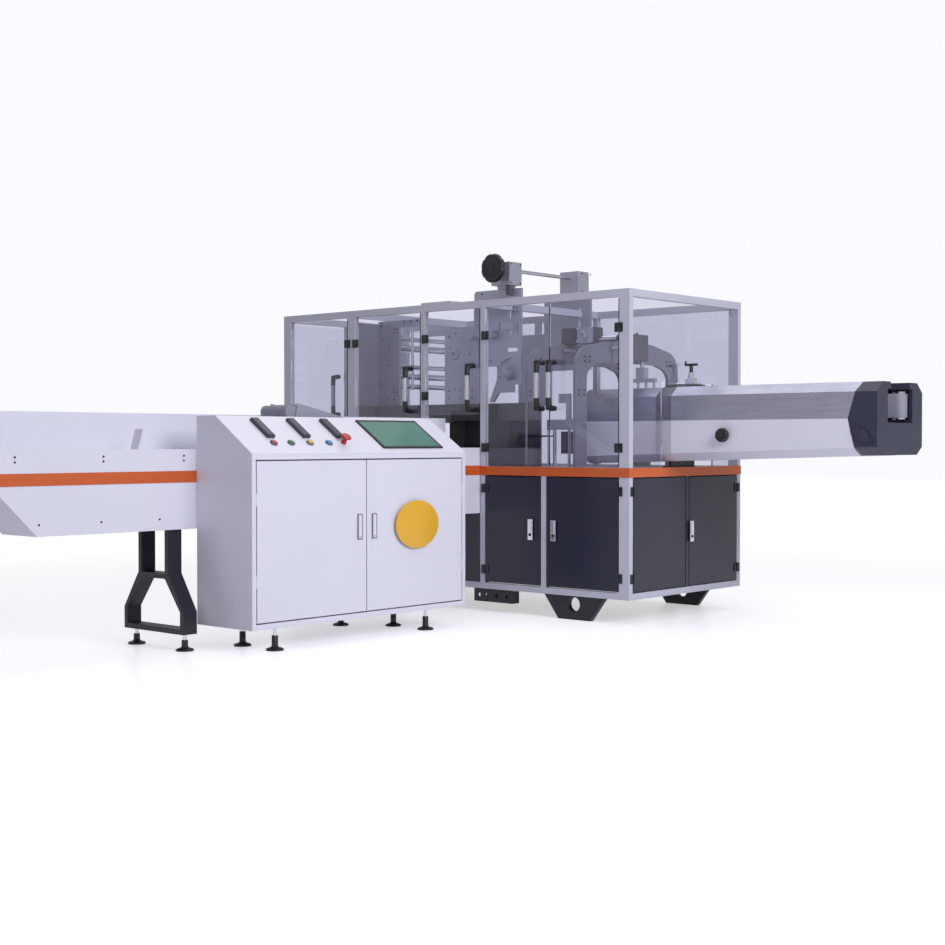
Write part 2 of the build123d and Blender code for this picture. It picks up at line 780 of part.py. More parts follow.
# Forming plates behind the film plates: slots, notched lower edge and a foot that carries the hub
forming_near = film_near + plate_thickness
forming_far = film_far - plate_thickness
slots = [(-738.0, deck + 823.0, 64.0), (-738.0, deck + 937.0, 44.0), (-600.0, deck + 806.0, 63.0)]
slot_width_small = 8.0
long_slot_x = -660.0
long_slot = (deck + 729.0, deck + 975.0)
foot_left, foot_right = -771.0, -580.0
notch_x = -725.0
pocket = (-687.0, -598.0, deck + 673.0, deck + 696.0)
with BuildPart() as forming_plates:
    for y, near in ((forming_near, True), (forming_far + plate_thickness, False)):
        with BuildSketch(front_plane(y)):
            outline((forming_left, forming_low), (forming_left, forming_top - forming_cut),
                    (forming_left + forming_cut, forming_top), (forming_right, forming_top),
                    (forming_right, forming_low))
            for x, z, tall in slots:
                rect(x - slot_width_small / 2, x + slot_width_small / 2, z - tall / 2, z + tall / 2,
                     mode=Mode.SUBTRACT)
            rect(long_slot_x - slot_width_small, long_slot_x + slot_width_small, long_slot[0], long_slot[1],
                 mode=Mode.SUBTRACT)
            rect(posts[0][0] - running_gap, posts[0][1] + running_gap, rail_bottom - running_gap,
                 roof + running_gap, mode=Mode.SUBTRACT)
            if near:
                rect(*pocket, mode=Mode.SUBTRACT)
                with BuildLine():
                    Polyline((notch_x, forming_low), (notch_x, forming_low + 25), (notch_x + 70, forming_low + 53),
                             (notch_x + 100, forming_low + 27), (forming_right, forming_low), close=True)
                make_face(mode=Mode.SUBTRACT)
        extrude(amount=plate_thickness)
        if near:
            with BuildSketch(front_plane(forming_near + plate_thickness)):
                outline((foot_left, forming_low + 60), (foot_left, forming_low - 76),
                        (foot_left - 60, forming_foot - 56), (foot_left - 28, forming_foot - 56),
                        (foot_left + 15, forming_foot), (hub_x + 41, forming_foot), (hub_x + 41, forming_foot + 46),
                        (foot_right, forming_foot + 46), (foot_right, forming_low + 60))
            extrude(amount=plate_thickness)
save(forming_plates, "forming_plates")

# Rollers along the web path, web tensioner in the window, posts and rail between the arches
web_x = -1650.0
web_rollers = [(deck + 797.0, 15.0), (deck + 738.0, 22.0), (deck + 620.0, 14.0), (deck + 558.0, 20.0),
               (deck + 495.0, 16.0)]
tension_x = -1445.0
tension_r = 9.0
tension_low = deck + 462.0
with BuildPart() as steel_rods:
    for z, r in web_rollers:
        with BuildSketch(front_plane(film_far)):
            with Locations((web_x, z)):
                Circle(r)
        extrude(amount=film_far - film_near)
    with BuildSketch(level(tension_low)):
        with Locations((tension_x, near_row + plate_thickness / 2)):
            many_sided(tension_r)
    extrude(amount=film_window_top - tension_low)
    for x, r in deck_posts:
        with BuildSketch(level(deck)):
            with Locations((x, post_y)):
                many_sided(r)
        extrude(amount=post_top - deck)
    with BuildSketch(end_plane(post_rail[0])):
        with Locations((post_y, post_rail[3])):
            many_sided(post_rail[2], 8)
    extrude(amount=post_rail[1] - post_rail[0])
    with BuildSketch(end_plane(gearbox_right)):
        with Locations((gearbox_front + gearbox_width / 2, arch_top + 22)):
            Circle(20)
    extrude(amount=arch_face - gearbox_right)
save(steel_rods, "steel_rods")

with BuildPart() as partition_wall:
    with BuildSketch(end_plane(film_left - plate_thickness)):
        rect(partition_front, near_row, deck, partition_top)
        rect(far_row, back_face + front_face - partition_front, deck, partition_top)
    extrude(amount=plate_thickness)
save(partition_wall, "partition_wall")

# Bed: a top and a base of the same stepped plan, with dark walls on both sides of the transfer channel
bed_outline = [(film_left, bed_front), (bed_steps[0][0], bed_front)]
for (x, y), (next_x, _) in zip(bed_steps, bed_steps[1:] + [(film_left, 0)]):
    bed_outline += [(x, y), (next_x, y)]
leg_face = arch_x[0] + arch_thickness / 2
with BuildPart() as bed_top:
    with BuildSketch(level(bed_top_low)):
        outline(*bed_outline)
    extrude(amount=bed_skirt)
    block(film_left, film_left + bed_wall, partition_front, bed_front, bed_top_low, bed_top_z)
    block(leg_face, leg_face + leg_plate, arch_front, arch_front + arch_leg, bed_top_low, bed_top_z)
save(bed_top, "bed_top")

channel_left = bed_steps[2][0]
channel_right = bed_steps[1][0]
bed_base_top = deck + bed_base_height
with BuildPart() as bed_base:
    with BuildSketch(level(deck)):
        outline(*bed_outline)
    extrude(amount=bed_base_height)
    block(channel_left - bed_wall, channel_left, bed_front, bed_steps[2][1], bed_base_top, bed_top_low)
    block(channel_right - bed_wall, channel_right, bed_steps[0][1], bed_steps[1][1], bed_base_top, bed_top_low)
    block(film_left, channel_left - bed_wall, bed_steps[2][1] - bed_wall, bed_steps[2][1],
          bed_base_top, bed_top_low)
    for x in (film_left + bed_wall, bed_steps[0][0] - bed_wall):
        block(x - bed_wall, x + bed_wall, bed_front, bed_front + 2 * bed_wall, bed_base_top, bed_top_low)
    block(leg_face, leg_face + leg_plate, arch_front, arch_front + arch_leg, deck, bed_top_low)
save(bed_base, "bed_base")

# Height adjuster: two gear blocks on the forming plates, joined by one shaft with the handwheel
block_bottom = forming_top + block_seat
block_top = block_bottom + block_height
shaft_z = block_bottom + shaft_rise
shaft_x = posts[0][0] - shaft_inset
block_x = (shaft_x - block_width / 2, shaft_x + block_width / 2)
near_block = film_near - block_overhang
far_block = forming_far + plate_thickness + block_overhang - block_depth
shaft_end = far_block + block_depth / 2
flange_x = gearbox_right - flange / 2
with BuildPart() as bearing_blocks:
    for y in (near_block, far_block):
        block(block_x[0], block_x[1], y, y + block_depth, block_bottom, block_top)
        block(block_x[0] + block_width / 5, block_x[1] - block_width / 5, y + block_depth / 5,
              y + 4 * block_depth / 5, forming_top, block_bottom)
    with BuildSketch(front_plane(shaft_end)):
        with Locations((shaft_x, shaft_z)):
            Circle(shaft_r + shaft_play)
    extrude(amount=shaft_end - near_block + 1, mode=Mode.SUBTRACT)
    # Square flange of the gearbox, and the light pads on both arches
    with BuildSketch(front_plane(gearbox_front)):
        with Locations((flange_x, arch_top + gearbox_height / 2)):
            RectangleRounded(flange, gearbox_height, 6)
    extrude(amount=flange_thickness)
    with BuildSketch(front_plane(gearbox_front - flange_thickness)):
        with Locations((flange_x, arch_top + gearbox_height / 2)):
            Circle(flange / 4)
            Circle(flange / 9, mode=Mode.SUBTRACT)
    extrude(amount=6)
    for x in arch_x:
        pad_x = x + arch_thickness / 2 + arch_boss
        block(pad_x, pad_x + arch_pad[2], motor_y - motor_width / 2 - arch_pad[0] - door_gap,
              motor_y - motor_width / 2 - door_gap, arch_top - 45, arch_top - 45 + arch_pad[1])
    # Hub and stub rollers of the film and forming plates, bracket over the long slot, plate on the deck posts
    for x, y, z, r, long in ((hub_x, forming_near, hub_z, hub_r, hub_length),
                             (stub_x[0], near_row, stub_z, stub_r, stub_length),
                             (stub_x[1], film_near, stub_z, stub_r, stub_length)):
        with BuildSketch(front_plane(y)):
            with Locations((x, z)):
                Circle(r)
        extrude(amount=long)
    block(long_slot_x - slot_bracket[0] / 2, long_slot_x + slot_bracket[0] / 2, film_near - slot_bracket[1],
          film_near, deck + 801, deck + 801 + slot_bracket[2])
    block(deck_posts[0][0] - 4, deck_posts[2][0] + 20, post_y - 10, post_y + 10, post_top, post_top + post_plate)
    block(post_bracket[1], post_bracket[2], post_y - 10, post_y + 10, post_top + post_plate, post_bracket[3])
    block(post_bracket[0], post_bracket[2], post_y - 10, post_y + 10, post_bracket[3], post_bracket[4])
save(bearing_blocks, "bearing_blocks")

with BuildPart() as handwheel:
    with BuildSketch(front_plane(shaft_end - 1)):
        with Locations((shaft_x, shaft_z)):
            Circle(shaft_r)
    extrude(amount=shaft_end - 1 - near_block + wheel_gap)
    with BuildSketch(front_plane(near_block - wheel_gap)):
        with Locations((shaft_x, shaft_z)):
            Circle(wheel_r)
            with PolarLocations(wheel_r + wheel_r / 10, 8):
                many_sided(wheel_r / 6, 12, Mode.SUBTRACT)
    extrude(amount=wheel_thickness)
save(handwheel, "handwheel")

# Discharge conveyor: bevelled tunnel of brushed covers over a tapered white trough, narrower inside the guard
nose_x = discharge_end - cap_nose
shoulder_x = discharge_end - cap_shoulder
stations = [(discharge_start, discharge_neck), (flare[0], discharge_neck), (flare[1], 0), (discharge_end, 0)]


def cover_section(x, neck):
    """One half of the cover in section, mirrored about the conveyor's middle."""
    near = d_near + neck
    with BuildSketch(end_plane(x)) as section:
        outline((near, discharge_split), (near, discharge_top - top_bevel[1]), (near + top_bevel[0], discharge_top),
                (d_mid - slot_width / 2, discharge_top), (d_mid - slot_width / 2, discharge_top - cover_wall),
                (near + top_bevel[0] + cover_wall / 3, discharge_top - cover_wall),
                (near + cover_wall, discharge_top - top_bevel[1] - cover_wall / 3),
                (near + cover_wall, discharge_split))
    return section.sketch


def trough_section(x, neck):
    with BuildSketch(end_plane(x)) as section:
        outline((d_near + neck, discharge_split), (d_near + neck, belly(x) + bottom_bevel[1]),
                (d_near + neck + bottom_bevel[0], belly(x)), (d_far - neck - bottom_bevel[0], belly(x)),
                (d_far - neck, belly(x) + bottom_bevel[1]), (d_far - neck, discharge_split))
    return section.sketch


with BuildPart() as discharge_cover:
    for (x0, neck0), (x1, neck1) in zip(stations, stations[1:]):
        loft([cover_section(x0, neck0), cover_section(x1, neck1)], ruled=True)
    mirror(about=Plane.XZ.offset(-d_mid))
    with BuildSketch(front_plane(d_far)):
        outline((discharge_start, discharge_split), (nose_x, discharge_split), (shoulder_x, discharge_top),
                (discharge_start, discharge_top))
    extrude(amount=discharge_width, mode=Mode.INTERSECT)
save(discharge_cover, "discharge_cover")

with BuildPart() as discharge_trough:
    for (x0, neck0), (x1, neck1) in zip(stations, stations[1:]):
        loft([trough_section(x0, neck0), trough_section(x1, neck1)], ruled=True)
    with BuildSketch(front_plane(d_far)):
        outline((discharge_start, discharge_split), (nose_x, discharge_split), (shoulder_x, belly_start),
                (discharge_start, belly_start))
    extrude(amount=discharge_width, mode=Mode.INTERSECT)
save(discharge_trough, "discharge_trough")

roller_pocket = (roller_spread + 2 * roller_flange_r) / 2 + 5
front_wall = 20.0
with BuildPart() as discharge_head:
    with BuildSketch(end_plane(nose_x)):
        outline((d_near, belly_end + bottom_bevel[1]), (d_near + bottom_bevel[0], belly_end),
                (d_far - bottom_bevel[0], belly_end), (d_far, belly_end + bottom_bevel[1]),
                (d_far, discharge_top - top_bevel[1]), (d_far - top_bevel[0], discharge_top),
                (d_near + top_bevel[0], discharge_top), (d_near, discharge_top - top_bevel[1]))
    extrude(amount=cap_nose)
    with BuildSketch(front_plane(d_far)):
        outline((nose_x, discharge_split), (shoulder_x, discharge_top), (discharge_end, discharge_top),
                (discharge_end, belly_end), (shoulder_x, belly_end))
    extrude(amount=discharge_width, mode=Mode.INTERSECT)
    with BuildSketch(level(roller_bottom)):
        rect(nose_x - 1, discharge_end - front_wall, d_mid - roller_pocket, d_mid + roller_pocket)
    extrude(amount=roller_top - roller_bottom, mode=Mode.SUBTRACT)
    with BuildSketch(end_plane(nose_x - 1)):
        rect(d_mid - window_half, d_mid + window_half, window_bottom, window_top)
        rect(d_mid - slot_width / 2, d_mid + slot_width / 2, window_top - 1, discharge_top + 1)
    extrude(amount=cap_nose + 2, mode=Mode.SUBTRACT)
    with BuildSketch(front_plane(d_near)):
        with Locations((bearing_x, bearing_z)):
            with Locations(Location((0, 0), -40)):
                SlotCenterToCenter(bearing_length - bearing_width, bearing_width)
            Circle(bearing_r)
    extrude(amount=12)
save(discharge_head, "discharge_head")

roller_y = (d_mid - roller_spread / 2, d_mid + roller_spread / 2)
for name, y in zip(("end_roller_near", "end_roller_far"), roller_y):
    with BuildPart() as roller:
        with BuildSketch(level(roller_bottom + running_gap)):
            with Locations((roller_x, y)):
                Circle(roller_flange_r)
        extrude(amount=roller_flange)
        with BuildSketch(level(roller_bottom + running_gap + roller_flange)):
            with Locations((roller_x, y)):
                Circle(roller_r)
        extrude(amount=roller_top - roller_bottom - 2 * (running_gap + roller_flange))
        with BuildSketch(level(roller_top - running_gap - roller_flange)):
            with Locations((roller_x, y)):
                Circle(roller_flange_r)
        extrude(amount=roller_flange)
    save(roller, name)

with BuildPart() as side_belts:
    with BuildSketch(level(roller_bottom + belt_edge)):
        for y in roller_y:
            with Locations(((belt_start + roller_x) / 2, y)):
                SlotCenterToCenter(roller_x - belt_start, 2 * (roller_r + running_gap + belt_thickness))
                SlotCenterToCenter(roller_x - belt_start, 2 * (roller_r + running_gap), mode=Mode.SUBTRACT)
    extrude(amount=roller_top - roller_bottom - 2 * belt_edge)
save(side_belts, "side_belts")

with BuildPart() as discharge_knob:
    with BuildSketch(front_plane(d_near - running_gap)):
        with Locations((knob_x, knob_z)):
            many_sided(knob_neck)
    extrude(amount=knob_neck)
    with BuildSketch(front_plane(d_near - running_gap - knob_neck)):
        with Locations((knob_x, knob_z)):
            Circle(knob_r)
            with PolarLocations(knob_r * 1.09, 8):
                many_sided(knob_r / 6, 12, Mode.SUBTRACT)
    extrude(amount=knob_thickness)
save(discharge_knob, "discharge_knob")

# Crank on top of the covers: round foot, plate and block, then the T-shaped handle on its pin
crank_deck = discharge_top + crank_base_height
crank_foot = crank_deck + crank_plate[2]
with BuildPart() as crank_mount:
    with BuildSketch(level(discharge_top)):
        with Locations((crank_base_x, crank_base_y)):
            many_sided(crank_base_r, 36)
    extrude(amount=crank_base_height, taper=45)
    block(crank_x - crank_plate[0] * 2 / 3, crank_x + crank_plate[0] / 3, crank_y - crank_plate[1] / 2,
          crank_y + crank_plate[1] / 2, crank_deck, crank_foot)
    block(crank_x - crank_block[0] / 2, crank_x + crank_block[0] / 2, crank_y - crank_block[1] / 2,
          crank_y + crank_block[1] / 2, crank_foot, crank_foot + crank_block[2])
save(crank_mount, "crank_mount")

crank_seat = crank_foot + crank_block[2] + running_gap
with BuildPart() as crank:
    with BuildSketch(level(crank_seat)):
        with Locations((crank_x, crank_y)):
            many_sided(crank_neck_r)
    extrude(amount=crank_neck)
    with BuildSketch(level(crank_seat + crank_neck)):
        with Locations((crank_x, crank_y)):
            SlotOverall(crank_bar, crank_bar_width)
    extrude(amount=crank_bar_width)
    with BuildSketch(level(crank_seat + crank_neck + crank_bar_width)):
        with Locations((crank_x - crank_bar / 2 + crank_bar_width / 2, crank_y)):
            many_sided(crank_knob_r, 8)
    extrude(amount=crank_knob)
save(crank, "crank")

# Infeed conveyor: two side panels, the raised far wall, a bed, and stands
infeed_end = stripe_end - infeed_length
skirt_end = stripe_end - skirt_length
skirt_rise = stripe_bottom - infeed_bottom
with BuildPart() as infeed_panels:
    with BuildSketch(end_plane(infeed_x - infeed_wall)):
        outline((stripe_end, infeed_bottom), (stripe_end, infeed_top), (infeed_end, infeed_top),
                (infeed_end, stripe_bottom), (skirt_end - skirt_rise, stripe_bottom), (skirt_end, infeed_bottom))
    extrude(amount=infeed_wall)
    with BuildSketch(end_plane(infeed_far)):
        outline((stripe_end, infeed_bottom), (stripe_end, far_wall_top), (infeed_end, far_wall_top),
                (infeed_end, stripe_bottom), (skirt_end - skirt_rise, stripe_bottom), (skirt_end, infeed_bottom))
    extrude(amount=infeed_wall)
save(infeed_panels, "infeed_panels")

inner_x = (infeed_far + infeed_wall, infeed_x - infeed_wall)
with BuildPart() as infeed_bed:
    with BuildSketch(level(belt_bed_z - belt_bed)):
        rect(inner_x[0], inner_x[1], infeed_end, stripe_end)
    extrude(amount=belt_bed)
    with BuildSketch(end_plane(inner_x[0])):
        outline((stripe_end, infeed_bottom), (stripe_end, infeed_bottom + under_sheet),
                (skirt_end + under_sheet / 2, infeed_bottom + under_sheet),
                (skirt_end - skirt_rise + under_sheet / 2, stripe_bottom + under_sheet),
                (infeed_end, stripe_bottom + under_sheet),
                (infeed_end, stripe_bottom), (skirt_end - skirt_rise, stripe_bottom), (skirt_end, infeed_bottom))
    extrude(amount=inner_x[1] - inner_x[0])
save(infeed_bed, "infeed_bed")

flight_count = int((infeed_length - flight_first - flight_foot) / flight_pitch) + 1
with BuildPart() as infeed_flights:
    with BuildSketch(end_plane(infeed_x - flight_near - flight_width)):
        for i in range(flight_count):
            y = stripe_end - flight_first - i * flight_pitch
            outline((y, belt_bed_z), (y, belt_bed_z + flight_height), (y - flight_foot, belt_bed_z))
    extrude(amount=flight_width)
save(infeed_flights, "infeed_flights")

stand_y = (stripe_end - stand_near, infeed_end + stand_end)
stand_mid = infeed_x - infeed_width / 2
wide = stand_foot_width / 2
narrow = stand_top_width / 2


def portal(top, side):
    """Half of a stand's outline on one side of its middle: splayed foot, waist and upright."""
    return [(stand_mid + side * wide, stand_low), (stand_mid + side * wide, splay_low),
            (stand_mid + side * narrow, splay_high), (stand_mid + side * narrow, top),
            (stand_mid + side * (narrow - stand_bar), top), (stand_mid + side * (narrow - stand_bar), splay_high)]


with BuildPart() as infeed_stand:
    for y, top in zip(stand_y, (infeed_bottom, stripe_bottom)):
        with BuildSketch(front_plane(y + stand_depth / 2)):
            outline(*portal(top, 1), *portal(top, -1)[::-1])
            with BuildLine():
                Polyline((stand_mid + wide - stand_bar, stand_low + stand_bar),
                         (stand_mid + wide - stand_bar, splay_low),
                         (stand_mid + narrow - stand_bar, splay_high - stand_bar),
                         (stand_mid - narrow + stand_bar, splay_high - stand_bar),
                         (stand_mid - wide + stand_bar, splay_low),
                         (stand_mid - wide + stand_bar, stand_low + stand_bar), close=True)
            make_face(mode=Mode.SUBTRACT)
        extrude(amount=stand_depth)
    block(prop[0] - prop[2] / 2, prop[0] + prop[2] / 2, stripe_end - prop[1] - prop[2] / 2,
          stripe_end - prop[1] + prop[2] / 2, stand_low, infeed_bottom)
save(infeed_stand, "infeed_stand")

# Levelling feet: sole, sleeve and stem in one piece
console_foot_x = (console_front - console_foot_inset[0], console_back + console_foot_inset[1])
console_foot_y = (console_right - console_foot_end[0], console_right - console_length + console_foot_end[1])
stand_foot_x = (stand_mid - stand_foot_width / 2 + foot_disc_r, stand_mid + stand_foot_width / 2 - foot_disc_r)
with BuildPart() as levelling_feet:
    for top, places in ((console_bottom, [(x, y) for x in console_foot_x for y in console_foot_y]),
                        (stand_low, [(x, y) for x in stand_foot_x for y in stand_y]
                         + [(prop[0], stripe_end - prop[1])])):
        with BuildSketch(level(0)):
            with Locations(*places):
                many_sided(foot_disc_r, 24)
        extrude(amount=foot_disc, taper=12)
        with BuildSketch(level(0)):
            with Locations(*places):
                many_sided(foot_stem_r)
        extrude(amount=top)
save(levelling_feet, "levelling_feet")

# Hold-down belt above the infeed, sloping down towards the frame
drop = radians(hold_slope)
hold_far = hold_near - hold_width
hold_plane = Plane(origin=(0, hold_head_y, hold_head_z), x_dir=(0, cos(drop), -sin(drop)), z_dir=(1, 0, 0))
with BuildPart() as holddown_frame:
    for x in (hold_near - hold_side, hold_far):
        with BuildSketch(hold_plane.offset(x)):
            rect(hold_side * 4, hold_length, -hold_r / 2, hold_rise)
        extrude(amount=hold_side)
    with BuildSketch(hold_plane.offset(hold_far + hold_side)):
        rect(hold_arm[0], hold_length, hold_rise - hold_side, hold_rise)
    extrude(amount=hold_width - 2 * hold_side)
    with BuildSketch(end_plane(inner_x[0])):
        rect(hold_head_y + 2 * hold_side + hold_arm[0], hold_head_y + 2 * hold_side + 2 * hold_arm[0],
             far_wall_top - hold_arm[1] - hold_side, far_wall_top - hold_side)
    extrude(amount=hold_far - inner_x[0])
save(holddown_frame, "holddown_frame")

with BuildPart() as holddown_belt:
    with BuildSketch(hold_plane.offset(hold_far + hold_side + running_gap)):
        with Locations((hold_length / 2, 0)):
            SlotCenterToCenter(hold_length, 2 * hold_r)
    extrude(amount=hold_width - 2 * (hold_side + running_gap))
save(holddown_belt, "holddown_belt")

# Control console: side plates, wrapped top with slope, floor, front frame and back
console_left = console_right - console_length
console_slope_back = console_front - console_slope
with BuildPart() as console_sides:
    for y in (console_right, console_left + console_wall):
        with BuildSketch(front_plane(y)):
            outline((console_front, console_bottom), (console_front, console_front_top),
                    (console_slope_back, console_top), (console_back, console_top), (console_back, console_bottom))
        extrude(amount=console_wall)
save(console_sides, "console_sides")

inner_left = console_left + console_wall
inner_right = console_right - console_wall
wall_rise = console_wall / cos(atan2(console_top - console_front_top, console_front - console_slope_back))
with BuildPart() as console_lids:
    with BuildSketch(front_plane(inner_right)):
        outline((console_front, console_front_top), (console_slope_back, console_top), (console_back, console_top),
                (console_back, console_top - wall_rise), (console_slope_back, console_top - wall_rise),
                (console_front, console_front_top - wall_rise))
    extrude(amount=inner_right - inner_left)
    with BuildSketch(level(console_bottom)):
        rect(console_back, console_front, inner_left, inner_right)
    extrude(amount=console_wall)
save(console_lids, "console_lids")

lid_under = console_front_top - wall_rise
with BuildPart() as console_faces:
    with BuildSketch(end_plane(console_front - console_door_depth)):
        rect(inner_left, inner_right, console_bottom + console_wall, lid_under)
        rect(console_left + door_margin - door_gap, console_right - door_margin + door_gap,
             door_bottom - door_gap, door_top - door_gap, mode=Mode.SUBTRACT)
    extrude(amount=console_door_depth)
    with BuildSketch(end_plane(console_back)):
        rect(inner_left, inner_right, console_bottom + console_wall, console_top - wall_rise)
    extrude(amount=console_wall)
    for pivot_y in (console_left + door_margin - door_gap / 2, console_right - door_margin + door_gap / 2):
        for z in (door_bottom + pivot_inset, door_top - pivot_inset - pivot_length):
            with BuildSketch(level(z)):
                with Locations((console_front, pivot_y)):
                    many_sided(pivot_r, 8)
                if pivot_y < console_left + console_length / 2:
                    rect(console_front - pivot_r, console_front, pivot_y - door_gap / 2, pivot_y)
                else:
                    rect(console_front - pivot_r, console_front, pivot_y, pivot_y + door_gap / 2)
            extrude(amount=pivot_length)
save(console_faces, "console_faces")

console_mid = (console_left + console_right) / 2
pull_z = door_top - pull_drop
for name, y0, y1, pull_y in (
        ("console_door_left", console_left + door_margin, console_mid - door_gap / 2, console_mid - pull_inset),
        ("console_door_right", console_mid + door_gap / 2, console_right - door_margin, console_mid + pull_inset)):
    with BuildPart() as leaf:
        with BuildSketch(end_plane(console_front - console_door_depth)):
            rect(y0, y1, door_bottom, door_top - 2 * door_gap)
        extrude(amount=console_door_depth)
        offset(amount=-sheet, openings=leaf.faces().sort_by(Axis.X)[0])
        with BuildSketch(end_plane(console_front)):
            rect(pull_y - pull_width / 2, pull_y + pull_width / 2, pull_z - pull_height / 2, pull_z + pull_height / 2)
        extrude(amount=pull_thickness)
    save(leaf, name)

# Instruments on the slope: modules, push buttons, stop button and the touch screen
slope = Plane(origin=(console_front, console_mid, console_front_top), x_dir=(0, 1, 0),
              z_dir=(console_top - console_front_top, 0, console_slope))
with BuildPart() as console_instruments:
    with BuildSketch(slope):
        with Locations(*[(y, module_up) for y in module_y]):
            Rectangle(module[0], module[1])
    extrude(amount=module[2], taper=20)
    with BuildSketch(slope):
        with Locations((screen_y, screen_up)):
            Rectangle(screen[0], screen[1])
    extrude(amount=screen[2])
    with BuildSketch(slope):
        with Locations(*[(y, button_up) for y in button_y]):
            many_sided(button_r, 16)
    extrude(amount=button_height)
save(console_instruments, "console_instruments")
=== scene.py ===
from math import cos, hypot, pi, radians, sin

import bmesh
import bpy
from mathutils import Matrix, Vector


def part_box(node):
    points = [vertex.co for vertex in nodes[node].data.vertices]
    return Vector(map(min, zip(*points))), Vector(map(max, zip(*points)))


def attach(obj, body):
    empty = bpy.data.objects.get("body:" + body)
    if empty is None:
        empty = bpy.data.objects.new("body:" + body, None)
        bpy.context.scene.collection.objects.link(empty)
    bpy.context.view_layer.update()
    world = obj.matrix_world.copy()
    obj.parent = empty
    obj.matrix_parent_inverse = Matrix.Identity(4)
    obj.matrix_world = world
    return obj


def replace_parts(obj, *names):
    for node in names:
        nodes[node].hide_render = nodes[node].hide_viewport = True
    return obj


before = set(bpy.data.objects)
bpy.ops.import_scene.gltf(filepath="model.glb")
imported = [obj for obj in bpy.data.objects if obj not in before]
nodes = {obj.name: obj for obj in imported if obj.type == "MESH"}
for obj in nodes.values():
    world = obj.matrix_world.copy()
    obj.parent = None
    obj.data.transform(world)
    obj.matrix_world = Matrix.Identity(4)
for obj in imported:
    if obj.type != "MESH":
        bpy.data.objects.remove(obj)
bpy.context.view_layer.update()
scene = bpy.context.scene
print("frame loaded:", len(nodes), "nodes")


# ---------- materials: every colour is sRGB hex, every pattern size is in millimetres ----------
def toLinear(code, alpha=1.0):
    channels = [int(code[i:i + 2], 16) / 255 for i in (1, 3, 5)]
    return tuple(c / 12.92 if c <= 0.04045 else ((c + 0.055) / 1.055) ** 2.4 for c in channels) + (alpha,)


def addNode(tree, kind, inputs, **settings):    # one node, with its settings, values and links
    node = tree.nodes.new("ShaderNode" + kind)
    for name, value in settings.items():
        setattr(node, name, value)
    for name, value in inputs.items():
        if isinstance(value, bpy.types.NodeSocket):
            tree.links.new(value, node.inputs[name])
        else:
            node.inputs[name].default_value = value
    return node


